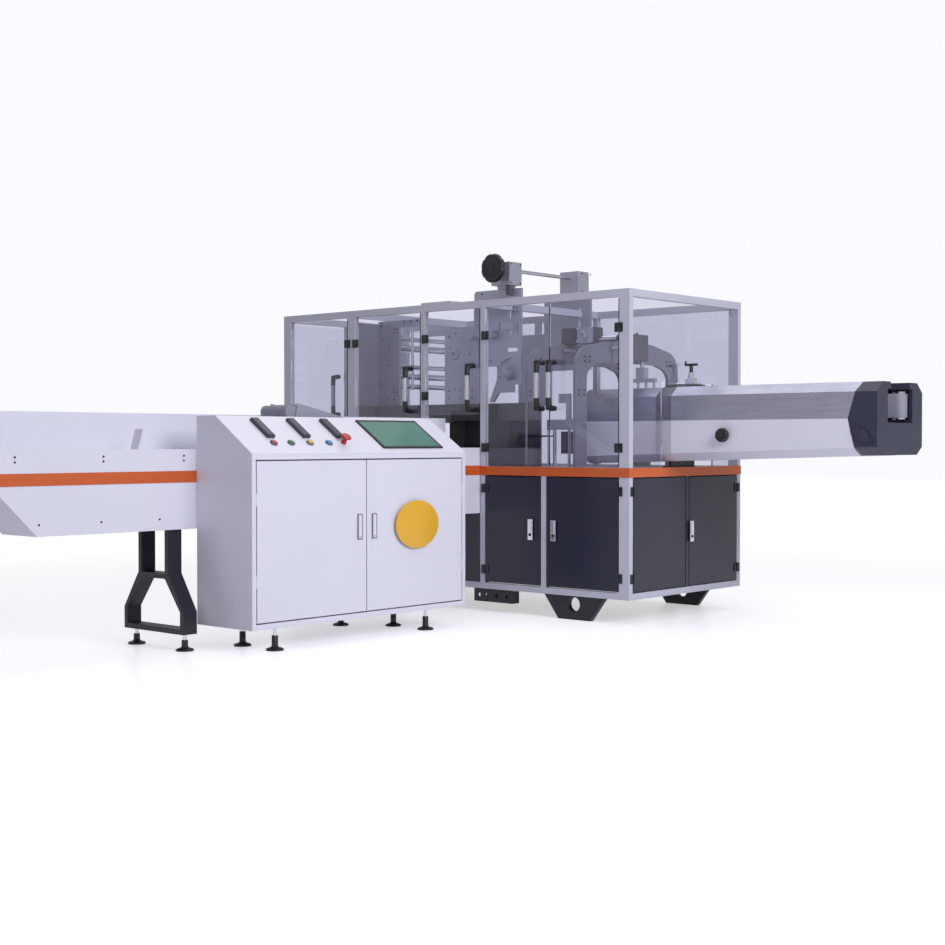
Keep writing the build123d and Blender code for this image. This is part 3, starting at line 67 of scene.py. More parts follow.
# What each finish gives the eye: base colour, a slightly different tone that drifts across it, the gloss and how
# much it varies, and the grain that catches the light. Streaks run along one axis, as rolling or brushing leaves.
finishes = {
    "powderCoatedFrame": dict(colour="#cdcede", tone="#c2c3d3", drift=420, gloss=0.36, glossDrift=0.07,
                              grain=2.2, depth=0.05, edge=1.2),          # grey-lavender powder coat, fine orange peel
    "orangePowderCoat": dict(colour="#d4622a", tone="#c95a26", drift=500, gloss=0.34, glossDrift=0.06,
                             grain=2.0, depth=0.05, edge=0.8),
    "navyPowderCoat": dict(colour="#282a3c", tone="#232537", drift=520, gloss=0.3, glossDrift=0.08,
                           grain=2.4, depth=0.06, edge=0.8, specular=0.4),
    "darkEnamel": dict(colour="#23222e", tone="#1d1c27", drift=300, gloss=0.42, glossDrift=0.1,
                       grain=3.0, depth=0.08, edge=1.0, specular=0.4),    # brushed-on machine enamel, a little uneven
    "whitePowderCoat": dict(colour="#e8e8f6", tone="#dfdfee", drift=650, gloss=0.33, glossDrift=0.06,
                            grain=1.8, depth=0.035, edge=1.2),
    "headCoat": dict(colour="#32344a", tone="#2b2d41", drift=260, gloss=0.4, glossDrift=0.08,
                     grain=1.4, depth=0.06, edge=1.0, specular=0.4),
    "castGrey": dict(colour="#8e8f9f", tone="#7e7f90", drift=240, gloss=0.5, glossDrift=0.12,
                     grain=3.2, depth=0.14, edge=1.6),                    # filled and sprayed casting, fine pitted skin
    "millAluminium": dict(colour="#b9bacb", tone="#abacbe", drift=300, gloss=0.36, glossDrift=0.12, metallic=0.6,
                          grain=1.0, depth=0.04, edge=1.0, streak=(6, 60, 60), contrast=0.25),    # rolled plate, faint lines along X
    "bedGrey": dict(colour="#66666f", tone="#5c5c66", drift=260, gloss=0.45, glossDrift=0.1, grain=2.0, depth=0.08,
                    edge=1.0, specular=0.3, band=(0.9415, 1.1065, "#101015")),     # painted shade: the open channel between bed base and bed top lies in deep shadow and is painted near-black
    "driveGrey": dict(colour="#5c5c67", tone="#52525d", drift=200, gloss=0.45, glossDrift=0.1, grain=2.0, depth=0.08,
                      edge=1.0, specular=0.4, band=(1.1, 1.3, "#15151f")),         # grey gearboxes, black feed cover
    "brushedStainless": dict(colour="#b4b5c6", tone="#9fa0b1", drift=160, gloss=0.3, glossDrift=0.16, metallic=0.75,
                             grain=2.2, depth=0.05, edge=1.0, streak=(5, 120, 120), contrast=0.8),
    # brush lines down the conveyor, 8 mm apart so that they show at this distance
    "groundSteel": dict(colour="#d3d4dc", tone="#bfc0c9", drift=80, gloss=0.16, glossDrift=0.08, metallic=1.0,
                        grain=0.8, depth=0.03, edge=0.4),
    "mouldedBlack": dict(colour="#1b1a20", tone="#16151a", drift=60, gloss=0.4, glossDrift=0.08,
                         grain=1.1, depth=0.1, edge=0.8),                 # glass-filled nylon, fine spark-eroded grain
    "greyBelt": dict(colour="#9a9baa", tone="#8c8d9c", drift=120, gloss=0.55, glossDrift=0.1,
                     grain=1.6, depth=0.16, edge=0.6),
    "instrumentCase": dict(colour="#3b3c4b", tone="#333443", drift=50, gloss=0.34, glossDrift=0.06,
                           grain=0.9, depth=0.06, edge=0.8),
    "screwSteel": dict(colour="#4a4b56", tone="#3c3d47", drift=12, gloss=0.35, glossDrift=0.1, metallic=0.8,
                       grain=0.6, depth=0.05, edge=0.3),
    "chromePlate": dict(colour="#d9dae4", tone="#cfd0da", drift=40, gloss=0.18, glossDrift=0.05, metallic=0.9,
                        grain=0.7, depth=0.02, edge=0.4),
    "bearingGrey": dict(colour="#62667a", tone="#585c70", drift=60, gloss=0.42, glossDrift=0.1,
                        grain=1.6, depth=0.12, edge=0.8),
    "pullGrey": dict(colour="#75758a", tone="#6b6b80", drift=40, gloss=0.3, glossDrift=0.05, metallic=0.3,
                     grain=0.8, depth=0.04, edge=0.6),
    "yellowVinyl": dict(colour="#ecb636", tone="#e9b231", drift=120, gloss=0.3, glossDrift=0.05,
                        grain=1.2, depth=0.02, edge=0.2),
    "redPlastic": dict(colour="#c01f1c", tone="#b51c1a", drift=20, gloss=0.25, glossDrift=0.05,
                       grain=0.8, depth=0.03, edge=0.5),
    "greenPlastic": dict(colour="#2f7d28", tone="#2a7424", drift=20, gloss=0.25, glossDrift=0.05,
                         grain=0.8, depth=0.03, edge=0.5),
    "amberPlastic": dict(colour="#e0b02c", tone="#d6a628", drift=20, gloss=0.25, glossDrift=0.05,
                         grain=0.8, depth=0.03, edge=0.5),
    "bluePlastic": dict(colour="#2b93cf", tone="#2789c2", drift=20, gloss=0.25, glossDrift=0.05,
                        grain=0.8, depth=0.03, edge=0.5),
}


def makeFinish(name, sheet):
    material = bpy.data.materials.new(name)
    material.use_nodes = True
    tree = material.node_tree
    tree.nodes.clear()
    place = addNode(tree, "TexCoord", {}).outputs["Object"]
    grainPlace = place
    if "streak" in sheet:      # lines: the pattern is stretched along the first axis
        grainPlace = addNode(tree, "Mapping", {"Vector": place, "Scale": sheet["streak"]}).outputs["Vector"]
    drift = addNode(tree, "TexNoise", {"Vector": place, "Scale": 1000 / sheet["drift"], "Detail": 3.0})
    grain = addNode(tree, "TexNoise", {"Vector": grainPlace, "Detail": 3.0,
                                       "Scale": (1.0 if "streak" in sheet else 1000 / sheet["grain"])})
    tone = addNode(tree, "Mix", {"Factor": drift.outputs["Fac"], 6: toLinear(sheet["colour"]),
                                 7: toLinear(sheet["tone"])}, data_type="RGBA").outputs[2]
    if "streak" in sheet:
        fine = addNode(tree, "ValToRGB", {"Fac": grain.outputs["Fac"]})
        fine.color_ramp.elements[0].position, fine.color_ramp.elements[1].position = 0.3, 0.7
        fine.color_ramp.elements[0].color, fine.color_ramp.elements[1].color = (0.8, 0.8, 0.8, 1), (1, 1, 1, 1)
        tone = addNode(tree, "Mix", {"Factor": sheet["contrast"], 6: tone, 7: fine.outputs["Color"]},
                       data_type="RGBA", blend_type="MULTIPLY").outputs[2]
    if "band" in sheet:        # a second colour between two heights; on the bed grey this is painted shade, the channel's shadow painted near-black
        height = addNode(tree, "SeparateXYZ", {"Vector": place}).outputs["Z"]
        above = addNode(tree, "Math", {0: height, 1: sheet["band"][0]}, operation="GREATER_THAN").outputs[0]
        below = addNode(tree, "Math", {0: height, 1: sheet["band"][1]}, operation="LESS_THAN").outputs[0]
        inside = addNode(tree, "Math", {0: above, 1: below}, operation="MULTIPLY").outputs[0]
        tone = addNode(tree, "Mix", {"Factor": inside, 6: tone, 7: toLinear(sheet["band"][2])},
                       data_type="RGBA").outputs[2]
    gloss = addNode(tree, "MapRange", {"Value": drift.outputs["Fac"], "To Min": sheet["gloss"] - sheet["glossDrift"],
                                       "To Max": sheet["gloss"] + sheet["glossDrift"]}).outputs["Result"]
    edge = addNode(tree, "Bevel", {"Radius": sheet["edge"] / 1000}, samples=3).outputs["Normal"]
    bump = addNode(tree, "Bump", {"Height": grain.outputs["Fac"], "Strength": sheet["depth"] * 2,
                                  "Distance": sheet["grain"] / 2500, "Normal": edge}).outputs["Normal"]
    shader = addNode(tree, "BsdfPrincipled", {"Base Color": tone, "Roughness": gloss, "Normal": bump,
                                              "Metallic": sheet.get("metallic", 0.0),
                                              "Specular IOR Level": sheet.get("specular", 0.5)})
    out = addNode(tree, "OutputMaterial", {})
    tree.links.new(shader.outputs["BSDF"], out.inputs["Surface"])
    return material


def makePane(name, colour):    # clear cast acrylic: it mirrors what stands in front and lets light through
    material = bpy.data.materials.new(name)
    material.use_nodes = True
    tree = material.node_tree
    tree.nodes.clear()
    place = addNode(tree, "TexCoord", {}).outputs["Object"]
    haze = addNode(tree, "TexNoise", {"Vector": place, "Scale": 3.0, "Detail": 2.0}).outputs["Fac"]
    gloss = addNode(tree, "MapRange", {"Value": haze, "To Min": 0.0, "To Max": 0.03}).outputs["Result"]
    ray = addNode(tree, "LightPath", {})
    direct = addNode(tree, "Math", {0: ray.outputs["Is Shadow Ray"], 1: ray.outputs["Is Diffuse Ray"]},
                     operation="MAXIMUM").outputs[0]
    cover = addNode(tree, "MapRange", {"Value": direct, "To Min": 1.0, "To Max": 0.1}).outputs["Result"]
    shader = addNode(tree, "BsdfPrincipled", {"Base Color": toLinear(colour), "Roughness": gloss, "IOR": 1.49,
                                              "Transmission Weight": 1.0, "Alpha": cover})
    out = addNode(tree, "OutputMaterial", {})
    tree.links.new(shader.outputs["BSDF"], out.inputs["Surface"])
    return material


def makeScreen(name, colours):    # touch panel behind glass: two flat tones meet on a slanting line
    material = bpy.data.materials.new(name)
    material.use_nodes = True
    tree = material.node_tree
    tree.nodes.clear()
    place = addNode(tree, "TexCoord", {}).outputs["Object"]
    turned = addNode(tree, "Mapping", {"Vector": place, "Location": (0, 0.99, -0.2), "Rotation": (radians(-28), 0, 0)})
    part = addNode(tree, "SeparateXYZ", {"Vector": turned.outputs["Vector"]})
    side = addNode(tree, "MapRange", {"Value": part.outputs["Y"], "From Min": 0.0, "From Max": 0.004})
    tone = addNode(tree, "Mix", {"Factor": side.outputs["Result"], 6: toLinear(colours[0]), 7: toLinear(colours[1])},
                   data_type="RGBA").outputs[2]
    dust = addNode(tree, "TexNoise", {"Vector": place, "Scale": 90.0, "Detail": 2.0}).outputs["Fac"]
    gloss = addNode(tree, "MapRange", {"Value": dust, "To Min": 0.12, "To Max": 0.2}).outputs["Result"]
    shader = addNode(tree, "BsdfPrincipled", {"Base Color": tone, "Roughness": gloss})
    out = addNode(tree, "OutputMaterial", {})
    tree.links.new(shader.outputs["BSDF"], out.inputs["Surface"])
    return material


finish = {name: makeFinish(name, sheet) for name, sheet in finishes.items()}
finish["clearPane"] = makePane("clearPane", "#dcdde9")
finish["touchPanel"] = makeScreen("touchPanel", ("#4a7a6d", "#5b8a7d"))
nodeFinish = {
    "powderCoatedFrame": "base_posts base_rails guard_posts guard_rails roof_beams",
    "orangePowderCoat": "orange_band",
    "navyPowderCoat": "base_panels base_door_1 base_door_2 base_door_3 base_door_4",
    "headCoat": "discharge_head",
    "darkEnamel": "machine_feet infeed_stand levelling_feet",
    "bedGrey": "bed_top bed_base",
    "driveGrey": "drive_boxes",
    "whitePowderCoat": "infeed_panels infeed_bed infeed_flights discharge_trough console_sides console_lids "
                       "console_faces console_door_left console_door_right",
    "castGrey": "arch_plates partition_wall deck_plate",
    "millAluminium": "forming_plates film_plates bearing_blocks press_head crank_mount holddown_frame",
    "clearPane": "guard_panes guard_door_1 guard_door_2 guard_door_3 guard_door_4 guard_door_5 guard_door_6",
    "mouldedBlack": "guard_door_fittings_1 guard_door_fittings_2 guard_door_fittings_3 guard_door_fittings_4 "
                    "guard_door_fittings_5 guard_door_fittings_6 hinge_leaves handwheel discharge_knob crank",
    "brushedStainless": "discharge_cover",
    "groundSteel": "steel_rods end_roller_near end_roller_far",
    "greyBelt": "side_belts holddown_belt",
    "instrumentCase": "console_instruments",
}
for name, members in nodeFinish.items():
    for member in members.split():
        for slot in nodes[member].material_slots:
            slot.material = finish[name]
print("finishes made:", len(finish))


# ---------- modelling helpers ----------
def clearSelection():
    bpy.ops.object.select_all(action="DESELECT")


def settle(piece, turn=None):    # the place goes into the mesh, so that the object sits at the origin
    clearSelection()
    piece.select_set(True)
    bpy.context.view_layer.objects.active = piece
    if turn is not None:
        piece.matrix_world = turn @ piece.matrix_world
    bpy.ops.object.transform_apply(location=True, rotation=True, scale=True)
    return piece


def roundEdges(piece, width, segments=2):
    bevel = piece.modifiers.new("edges", "BEVEL")
    bevel.width, bevel.segments, bevel.limit_method = width, segments, "ANGLE"
    bpy.context.view_layer.objects.active = piece
    bpy.ops.object.modifier_apply(modifier="edges")
    return piece


def addBlock(low, high, edge, turn=None):
    middle = [(a + b) / 2 for a, b in zip(low, high)]
    bpy.ops.mesh.primitive_cube_add(size=1, location=middle, scale=[b - a for a, b in zip(low, high)])
    piece = settle(bpy.context.active_object)
    roundEdges(piece, edge)
    return settle(piece, turn) if turn is not None else piece


def addTurned(profile, centre, axis, sides=32):    # lathe work: (radius, height) pairs spun round an axis
    mesh = bpy.data.meshes.new("turned")
    work = bmesh.new()
    row = [work.verts.new((r, 0, h)) for r, h in profile]
    for a, b in zip(row, row[1:]):
        work.edges.new((a, b))
    work.to_mesh(mesh)
    work.free()
    piece = bpy.data.objects.new("turned", mesh)
    scene.collection.objects.link(piece)
    clearSelection()
    piece.select_set(True)
    bpy.context.view_layer.objects.active = piece
    bpy.ops.object.mode_set(mode="EDIT")
    bpy.ops.mesh.select_all(action="SELECT")
    bpy.ops.mesh.spin(steps=sides, angle=2 * pi, center=(0, 0, 0), axis=(0, 0, 1))
    bpy.ops.mesh.select_all(action="SELECT")
    bpy.ops.mesh.remove_doubles(threshold=0.00001)
    bpy.ops.mesh.normals_make_consistent(inside=False)
    bpy.ops.object.mode_set(mode="OBJECT")
    bpy.ops.object.shade_smooth_by_angle(angle=radians(35))
    turn = Vector((0, 0, 1)).rotation_difference(Vector(axis)).to_matrix().to_4x4()
    return settle(piece, Matrix.Translation(centre) @ turn)


def copyPiece(piece, shift):
    twin = piece.copy()
    twin.data = piece.data.copy()
    scene.collection.objects.link(twin)
    twin.data.transform(Matrix.Translation(shift))
    return twin


def joinPieces(pieces, name, material, body):
    clearSelection()
    for piece in pieces:
        piece.select_set(True)
    bpy.context.view_layer.objects.active = pieces[0]
    if len(pieces) > 1:
        bpy.ops.object.join()
    whole = bpy.context.view_layer.objects.active
    whole.name = whole.data.name = name
    whole.data.materials.clear()
    whole.data.materials.append(finish[material])
    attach(whole, body)
    return whole


def screwHead(radius, height):    # socket cap: rounded rim and a hexagon hole
    return [(0.0, height * 0.45), (radius * 0.5, height * 0.45), (radius * 0.55, height * 0.98),
            (radius * 0.86, height), (radius, height * 0.8), (radius, -0.0004)]


def addScrews(sheet, name, body):
    first = addTurned(screwHead(sheet["radius"], sheet["height"]), (0, 0, 0), sheet["axis"], 12)
    places = sheet["places"]
    pieces = [copyPiece(first, place) for place in places]
    bpy.data.objects.remove(first)
    return joinPieces(pieces, name, sheet.get("finish", "screwSteel"), body)


# ---------- console: instruments on the sloping desk ----------
console = dict(front=-0.27, middle=-1.348, low=0.928, run=0.264, rise=0.178)
desk = hypot(console["run"], console["rise"])
slopeTurn = Matrix(((0, -console["run"] / desk, console["rise"] / desk, console["front"]),
                    (1, 0, 0, console["middle"]),
                    (0, console["rise"] / desk, console["run"] / desk, console["low"]),
                    (0, 0, 0, 1)))    # x across the desk, y up the slope, z out of it
modules = dict(across=(-0.529, -0.302, -0.083), up=0.205, width=0.046, length=0.155, height=0.016)
bars = []
for across in modules["across"]:
    half, long = modules["width"] / 2, modules["length"] / 2
    bpy.ops.mesh.primitive_cube_add(size=1, location=(across, modules["up"], modules["height"] / 2),
                                    scale=(2 * half, 2 * long, modules["height"]))
    bar = settle(bpy.context.active_object)
    bpy.ops.object.mode_set(mode="EDIT")
    bpy.ops.mesh.select_all(action="DESELECT")
    bpy.ops.object.mode_set(mode="OBJECT")
    for face in bar.data.polygons:
        face.select = face.normal.z > 0.9
    bpy.ops.object.mode_set(mode="EDIT")
    bpy.ops.mesh.inset(thickness=0.007, depth=0.0)      # chamfered lid with a shallow sunk window
    bpy.ops.transform.translate(value=(0, 0, 0.004))
    bpy.ops.mesh.inset(thickness=0.004, depth=-0.0015)
    bpy.ops.object.mode_set(mode="OBJECT")
    bars.append(settle(roundEdges(bar, 0.0012), slopeTurn))
moduleBars = joinPieces(bars, "consoleModules", "instrumentCase", "machine")
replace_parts(moduleBars, "console_instruments")

buttons = dict(up=0.084, radius=0.0155, lenses=[(-0.543, "redPlastic"), (-0.434, "greenPlastic"),
                                               (-0.314, "amberPlastic"), (-0.189, "bluePlastic")])
rings = []
for across, colour in buttons["lenses"]:
    r = buttons["radius"]
    ring = addTurned([(r * 1.25, -0.0004), (r * 1.25, 0.005), (r * 1.12, 0.009), (r * 1.06, 0.0095), (r * 0.98, 0.0088),
                      (r * 0.98, 0.0)], (across, buttons["up"], 0), (0, 0, 1), 36)
    rings.append(settle(ring, slopeTurn))
    lens = addTurned([(0, 0.0125), (r * 0.6, 0.0122), (r * 0.88, 0.011), (r * 0.95, 0.009), (r * 0.95, 0.001)],
                     (across, buttons["up"], 0), (0, 0, 1), 36)
    joinPieces([settle(lens, slopeTurn)], "buttonLens" + colour.capitalize()[:4], colour, "machine")
joinPieces(rings, "buttonRings", "bearingGrey", "machine")
stop = addTurned([(0.013, -0.0004), (0.013, 0.012), (0.011, 0.016), (0.012, 0.024), (0.021, 0.032), (0.026, 0.036),
                  (0.0265, 0.041), (0.023, 0.0455), (0.012, 0.048), (0, 0.0485)], (-0.092, buttons["up"], 0),
                 (0, 0, 1), 48)
joinPieces([settle(stop, slopeTurn)], "stopButton", "redPlastic", "machine")

screen = dict(across=0.37, up=0.161, width=0.44, height=0.252, frame=0.014, thick=0.008)
left, right = screen["across"] - screen["width"] / 2, screen["across"] + screen["width"] / 2
low, high = screen["up"] - screen["height"] / 2, screen["up"] + screen["height"] / 2
bezel = addBlock((left, low, -0.0004), (right, high, screen["thick"]), 0.002)
clearSelection()
bezel.select_set(True)
for face in bezel.data.polygons:
    face.select = face.normal.z > 0.99
bpy.ops.object.mode_set(mode="EDIT")
bpy.ops.mesh.select_mode(type="FACE")
bpy.ops.mesh.inset(thickness=screen["frame"])
bpy.ops.transform.translate(value=(0, 0, -0.0022))
bpy.ops.object.mode_set(mode="OBJECT")
joinPieces([settle(bezel, slopeTurn)], "screenBezel", "mouldedBlack", "machine")
glass = addBlock((left + screen["frame"], low + screen["frame"], 0.001),
                 (right - screen["frame"], high - screen["frame"], screen["thick"] - 0.0012), 0.0006)
joinPieces([settle(glass, slopeTurn)], "screenGlass", "touchPanel", "machine")

# Round vinyl disc on the right console door, left bare, and the finger pulls
disc = dict(centre=(-0.252, -1.001, 0.5605), halfWidth=0.158, halfHeight=0.1225, thick=0.0007)
vinyl = addTurned([(0, disc["thick"]), (0.994, disc["thick"]), (1.0, disc["thick"] * 0.4), (1.0, -0.0002)], (0, 0, 0),
                  (1, 0, 0), 96)
vinyl.data.transform(Matrix.Translation(disc["centre"]) @ Matrix.Diagonal((1, disc["halfWidth"], disc["halfHeight"], 1)))
joinPieces([vinyl], "vinylDisc", "yellowVinyl", "console_door_right")
print("console dressed")

# ---------- locks on the base doors ----------
lock = dict(width=0.035, height=0.117, thick=0.004, keyDrop=0.029)
locks = [("base_door_1", (-0.126, -0.041, 0.4885), (0, -1, 0)), ("base_door_2", (-0.29, -0.041, 0.4885), (0, -1, 0)),
         ("base_door_4", (0.391, 0.5595, 0.48), (1, 0, 0))]
for body, centre, out in locks:
    turn = Matrix.Translation(centre) @ (Matrix.Rotation(pi / 2, 4, "Z") if out[0] else Matrix.Identity(4))
    w, h, t = lock["width"] / 2, lock["height"] / 2, lock["thick"]
    plate = addBlock((-w, -t, -h), (w, 0.001, h), 0.0015)
    handle = addBlock((-w * 0.6, -t - 0.005, -h * 0.3), (w * 0.6, -t + 0.001, h * 0.86), 0.002)
    key = addTurned([(0.0085, -0.001), (0.0085, 0.0035), (0.007, 0.0045), (0.003, 0.0045), (0.0028, 0.001), (0, 0.001)],
                    (0, -t, -lock["keyDrop"]), (0, -1, 0), 24)
    for piece in (plate, handle, key):
        settle(piece, turn)
    joinPieces([plate, handle], "lockPlate" + body[-1], "chromePlate", body)
    joinPieces([key], "lockBarrel" + body[-1], "screwSteel", body)
print("locks fitted")

# ---------- door handles: black elbows and a bright tube over the grip ----------
def outerFace(node, axis, side, deep):    # box of the part of a CAD node within this depth of its furthest point
    points = [v.co for v in nodes[node].data.vertices]
    limit = max(side * p[axis] for p in points)
    part = [p for p in points if side * p[axis] > limit - deep]
    return [min(p[i] for p in part) for i in range(3)], [max(p[i] for p in part) for i in range(3)]


handle = dict(tube=0.0148, elbow=0.0155, bend=0.03, cover=0.058)
for number, axis, side in ((2, 1, -1), (3, 1, -1), (4, 1, -1), (5, 1, -1), (6, 0, -1)):
    low, high = outerFace("guard_door_fittings_%d" % number, axis, side, 0.0105)
    bar = [(a + b) / 2 for a, b in zip(low, high)]
    bar[axis] = (low if side < 0 else high)[axis] + 0.01
    reach = abs((-0.038 if axis == 1 else -2.387) - bar[axis])
    inward = Vector((0, 1, 0) if axis == 1 else (1, 0, 0))
    elbows = []
    for end, way in ((high[2] - 0.01, -1), (low[2] + 0.01, 1)):
        corner = Vector((bar[0], bar[1], end))
        steps = [corner + inward * reach, corner + inward * handle["bend"]]
        steps += [corner + inward * handle["bend"] * (1 - sin(a)) + Vector((0, 0, way * handle["bend"] * (1 - cos(a))))
                  for a in (pi / 8, pi / 4, 3 * pi / 8)]
        steps += [corner + Vector((0, 0, way * handle["bend"])), corner + Vector((0, 0, way * handle["cover"]))]
        path = bpy.data.curves.new("elbow", "CURVE")
        path.dimensions, path.bevel_depth, path.bevel_resolution, path.use_fill_caps = "3D", handle["elbow"], 5, True
        line = path.splines.new("POLY")
        line.points.add(len(steps) - 1)
        for point, step in zip(line.points, steps):
            point.co = (*step, 1)
        elbow = bpy.data.objects.new("elbow", path)
        scene.collection.objects.link(elbow)
        clearSelection()
        elbow.select_set(True)
        bpy.context.view_layer.objects.active = elbow
        bpy.ops.object.convert(target="MESH")
        bpy.ops.object.shade_smooth_by_angle(angle=radians(35))
        elbows.append(elbow)
    joinPieces(elbows, "handleElbows%d" % number, "mouldedBlack", "guard_door_%d" % number)
    long = high[2] - low[2] - 2 * handle["cover"]
    r = handle["tube"]
    tube = addTurned([(r * 0.9, 0), (r, 0.002), (r, long - 0.002), (r * 0.9, long)],
                     (bar[0], bar[1], low[2] + handle["cover"]), (0, 0, 1), 28)
    joinPieces([tube], "handleTube%d" % number, "chromePlate", "guard_door_%d" % number)

pull = dict(cover=0.0008)
for name in ("console_door_left", "console_door_right"):
    low, high = outerFace(name, 0, 1, 0.006)    # less than the pull's 8 mm, so that the door leaf stays out of it
    grow = pull["cover"]
    bar = addBlock((high[0] - 0.006, low[1] - grow, low[2] - grow), (high[0] + 0.0015, high[1] + grow, high[2] + grow), 0.002)
    clearSelection()
    bar.select_set(True)
    bpy.context.view_layer.objects.active = bar
    for face in bar.data.polygons:
        face.select = face.normal.x > 0.99
    bpy.ops.object.mode_set(mode="EDIT")
    bpy.ops.mesh.select_mode(type="FACE")
    bpy.ops.mesh.inset(thickness=0.004, depth=-0.002)
    bpy.ops.object.mode_set(mode="OBJECT")
    dot = addTurned(screwHead(0.003, 0.002), (high[0], (low[1] + high[1]) / 2, low[2] + 0.012), (1, 0, 0), 12)
    joinPieces([bar, dot], "consolePull" + name.split("_")[-1].capitalize(), "pullGrey", name)
print("handles fitted")


# ---------- knobs: turned on the lathe, then dented for the fingers ----------
def dentRim(piece, centre, axis, rim, count, deep):
    spin = Vector(axis).rotation_difference(Vector((0, 0, 1))).to_matrix()
    for vertex in piece.data.vertices:
        flat = spin @ (vertex.co - Vector(centre))
        away = hypot(flat.x, flat.y)
        if away > rim * 0.6:
            turn = (flat.x + 1j * flat.y) / away
            dent = deep * max(0.0, (turn ** count).real) ** 2 * (away / rim) ** 4
            flat.x, flat.y = flat.x * (1 - dent), flat.y * (1 - dent)
            vertex.co = spin.inverted() @ flat + Vector(centre)
    return piece


def addKnob(node, name, rim, thick, count):
    low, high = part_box(node)
    centre = ((low[0] + high[0]) / 2, low[1] + thick, (low[2] + high[2]) / 2)
    shape = [(0, 1.1), (0.16, 1.1), (0.2, 1.04), (0.22, 0.9), (0.3, 0.86), (0.42, 0.9), (0.6, 0.97), (0.78, 1.0),
             (0.9, 0.94), (0.97, 0.78), (1.0, 0.55), (0.99, 0.3), (0.95, 0.1), (0.86, 0.0), (0.5, 0.0), (0, 0.0)]
    knob = addTurned([(r * rim, h * thick * 0.9) for r, h in shape], centre, (0, -1, 0), 96)
    dentRim(knob, centre, (0, -1, 0), rim, count, 0.055)
    whole = joinPieces([knob], name, "mouldedBlack", node)
    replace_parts(whole, node)
    return whole, centre


wheel, hub = addKnob("handwheel", "heightWheel", 0.086, 0.04, 8)
shaft = dict(radius=0.0112, start=0.13, end=0.925)
rod = addTurned([(0, 0), (shaft["radius"] * 0.9, 0), (shaft["radius"], 0.001),
                 (shaft["radius"], shaft["end"] - shaft["start"]), (0, shaft["end"] - shaft["start"])],
                (hub[0], shaft["start"], hub[2]), (0, 1, 0), 28)
joinPieces([rod], "heightShaft", "groundSteel", "handwheel")
knob, hub = addKnob("discharge_knob", "guideKnob", 0.0385, 0.034, 8)
neck = addTurned([(0, 0), (0.02, 0), (0.02, 0.004), (0.013, 0.006), (0.013, 0.016), (0, 0.016)],
                 (hub[0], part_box("discharge_knob")[1][1], hub[2]), (0, -1, 0), 28)
joinPieces([neck], "guideKnobNeck", "mouldedBlack", "discharge_knob")
print("knobs turned")

# ---------- crank stand: black disc, bright plate and block ----------
low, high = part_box("crank_mount")
stand = dict(x=0.392, y=0.5, base=low[2], plateTop=low[2] + 0.022, discTop=low[2] + 0.016, blockTop=high[2])
disc = addTurned([(0, 0.0158), (0.078, 0.0158), (0.08, 0.0175), (0.1, 0.0175), (0.106, 0.014), (0.11, 0.012),
                  (0.1235, 0.003), (0.125, 0)], (stand["x"], stand["y"], stand["base"]), (0, 0, 1), 72)
disc = joinPieces([disc], "crankDisc", "mouldedBlack", "machine")
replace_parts(disc, "crank_mount")
plate = addBlock((0.336, 0.447, stand["discTop"]), (0.486, 0.513, stand["plateTop"]), 0.0015)
foot = addBlock((0.406, 0.4625, stand["plateTop"]), (0.466, 0.4975, stand["plateTop"] + 0.03), 0.004)
column = addTurned([(0.0165, 0.0), (0.0165, 0.026), (0.0145, 0.028), (0.0145, 0.031), (0.011, 0.032), (0, 0.032)],
                   (0.436, 0.48, stand["blockTop"] - 0.032), (0, 0, 1), 32)
bolts = [addTurned(screwHead(0.005, 0.004), (x, 0.48 + y, stand["plateTop"]), (0, 0, 1), 12)
         for x, y in ((0.346, 0.02), (0.346, -0.02), (0.478, 0.02), (0.478, -0.02))]
joinPieces([plate, foot, column] + bolts, "crankPost", "chromePlate", "machine")

# ---------- turned rings and flanges on the plates ----------
rings = {
    "filmFlange": dict(at=(-1.083, 0.205, 1.518), axis=(0, -1, 0), body="machine", finish="millAluminium",
                       shape=[(0.0, 0.004), (0.009, 0.004), (0.009, 0.018), (0.016, 0.018), (0.017, 0.012), (0.03, 0.011),
                              (0.037, 0.01), (0.038, 0.0)]),
    "hubFlange": dict(at=(-0.682, 0.189, 1.387), axis=(0, -1, 0), body="machine", finish="millAluminium",
                      shape=[(0.0, 0.002), (0.006, 0.002), (0.007, 0.007), (0.016, 0.007), (0.018, 0.003), (0.03, 0.003),
                             (0.033, 0.001), (0.0425, 0.0), (0.0425, -0.01)]),
    "gearboxBoss": dict(at=(-0.202, 0.331, 1.595), axis=(0, -1, 0), body="machine", finish="millAluminium",
                        shape=[(0.0, -0.004), (0.010, -0.004), (0.011, 0.01), (0.019, 0.011), (0.0225, 0.008),
                               (0.0235, 0.0)]),
    "motorCap": dict(at=(0.05, 0.5, 1.594), axis=(0, 0, 1), body="machine", finish="driveGrey",
                     shape=[(0.0, 0.012), (0.006, 0.012), (0.008, 0.01), (0.008, 0.0)]),
}
for name, sheet in rings.items():
    joinPieces([addTurned(sheet["shape"], sheet["at"], sheet["axis"], 40)], name, sheet["finish"], sheet["body"])

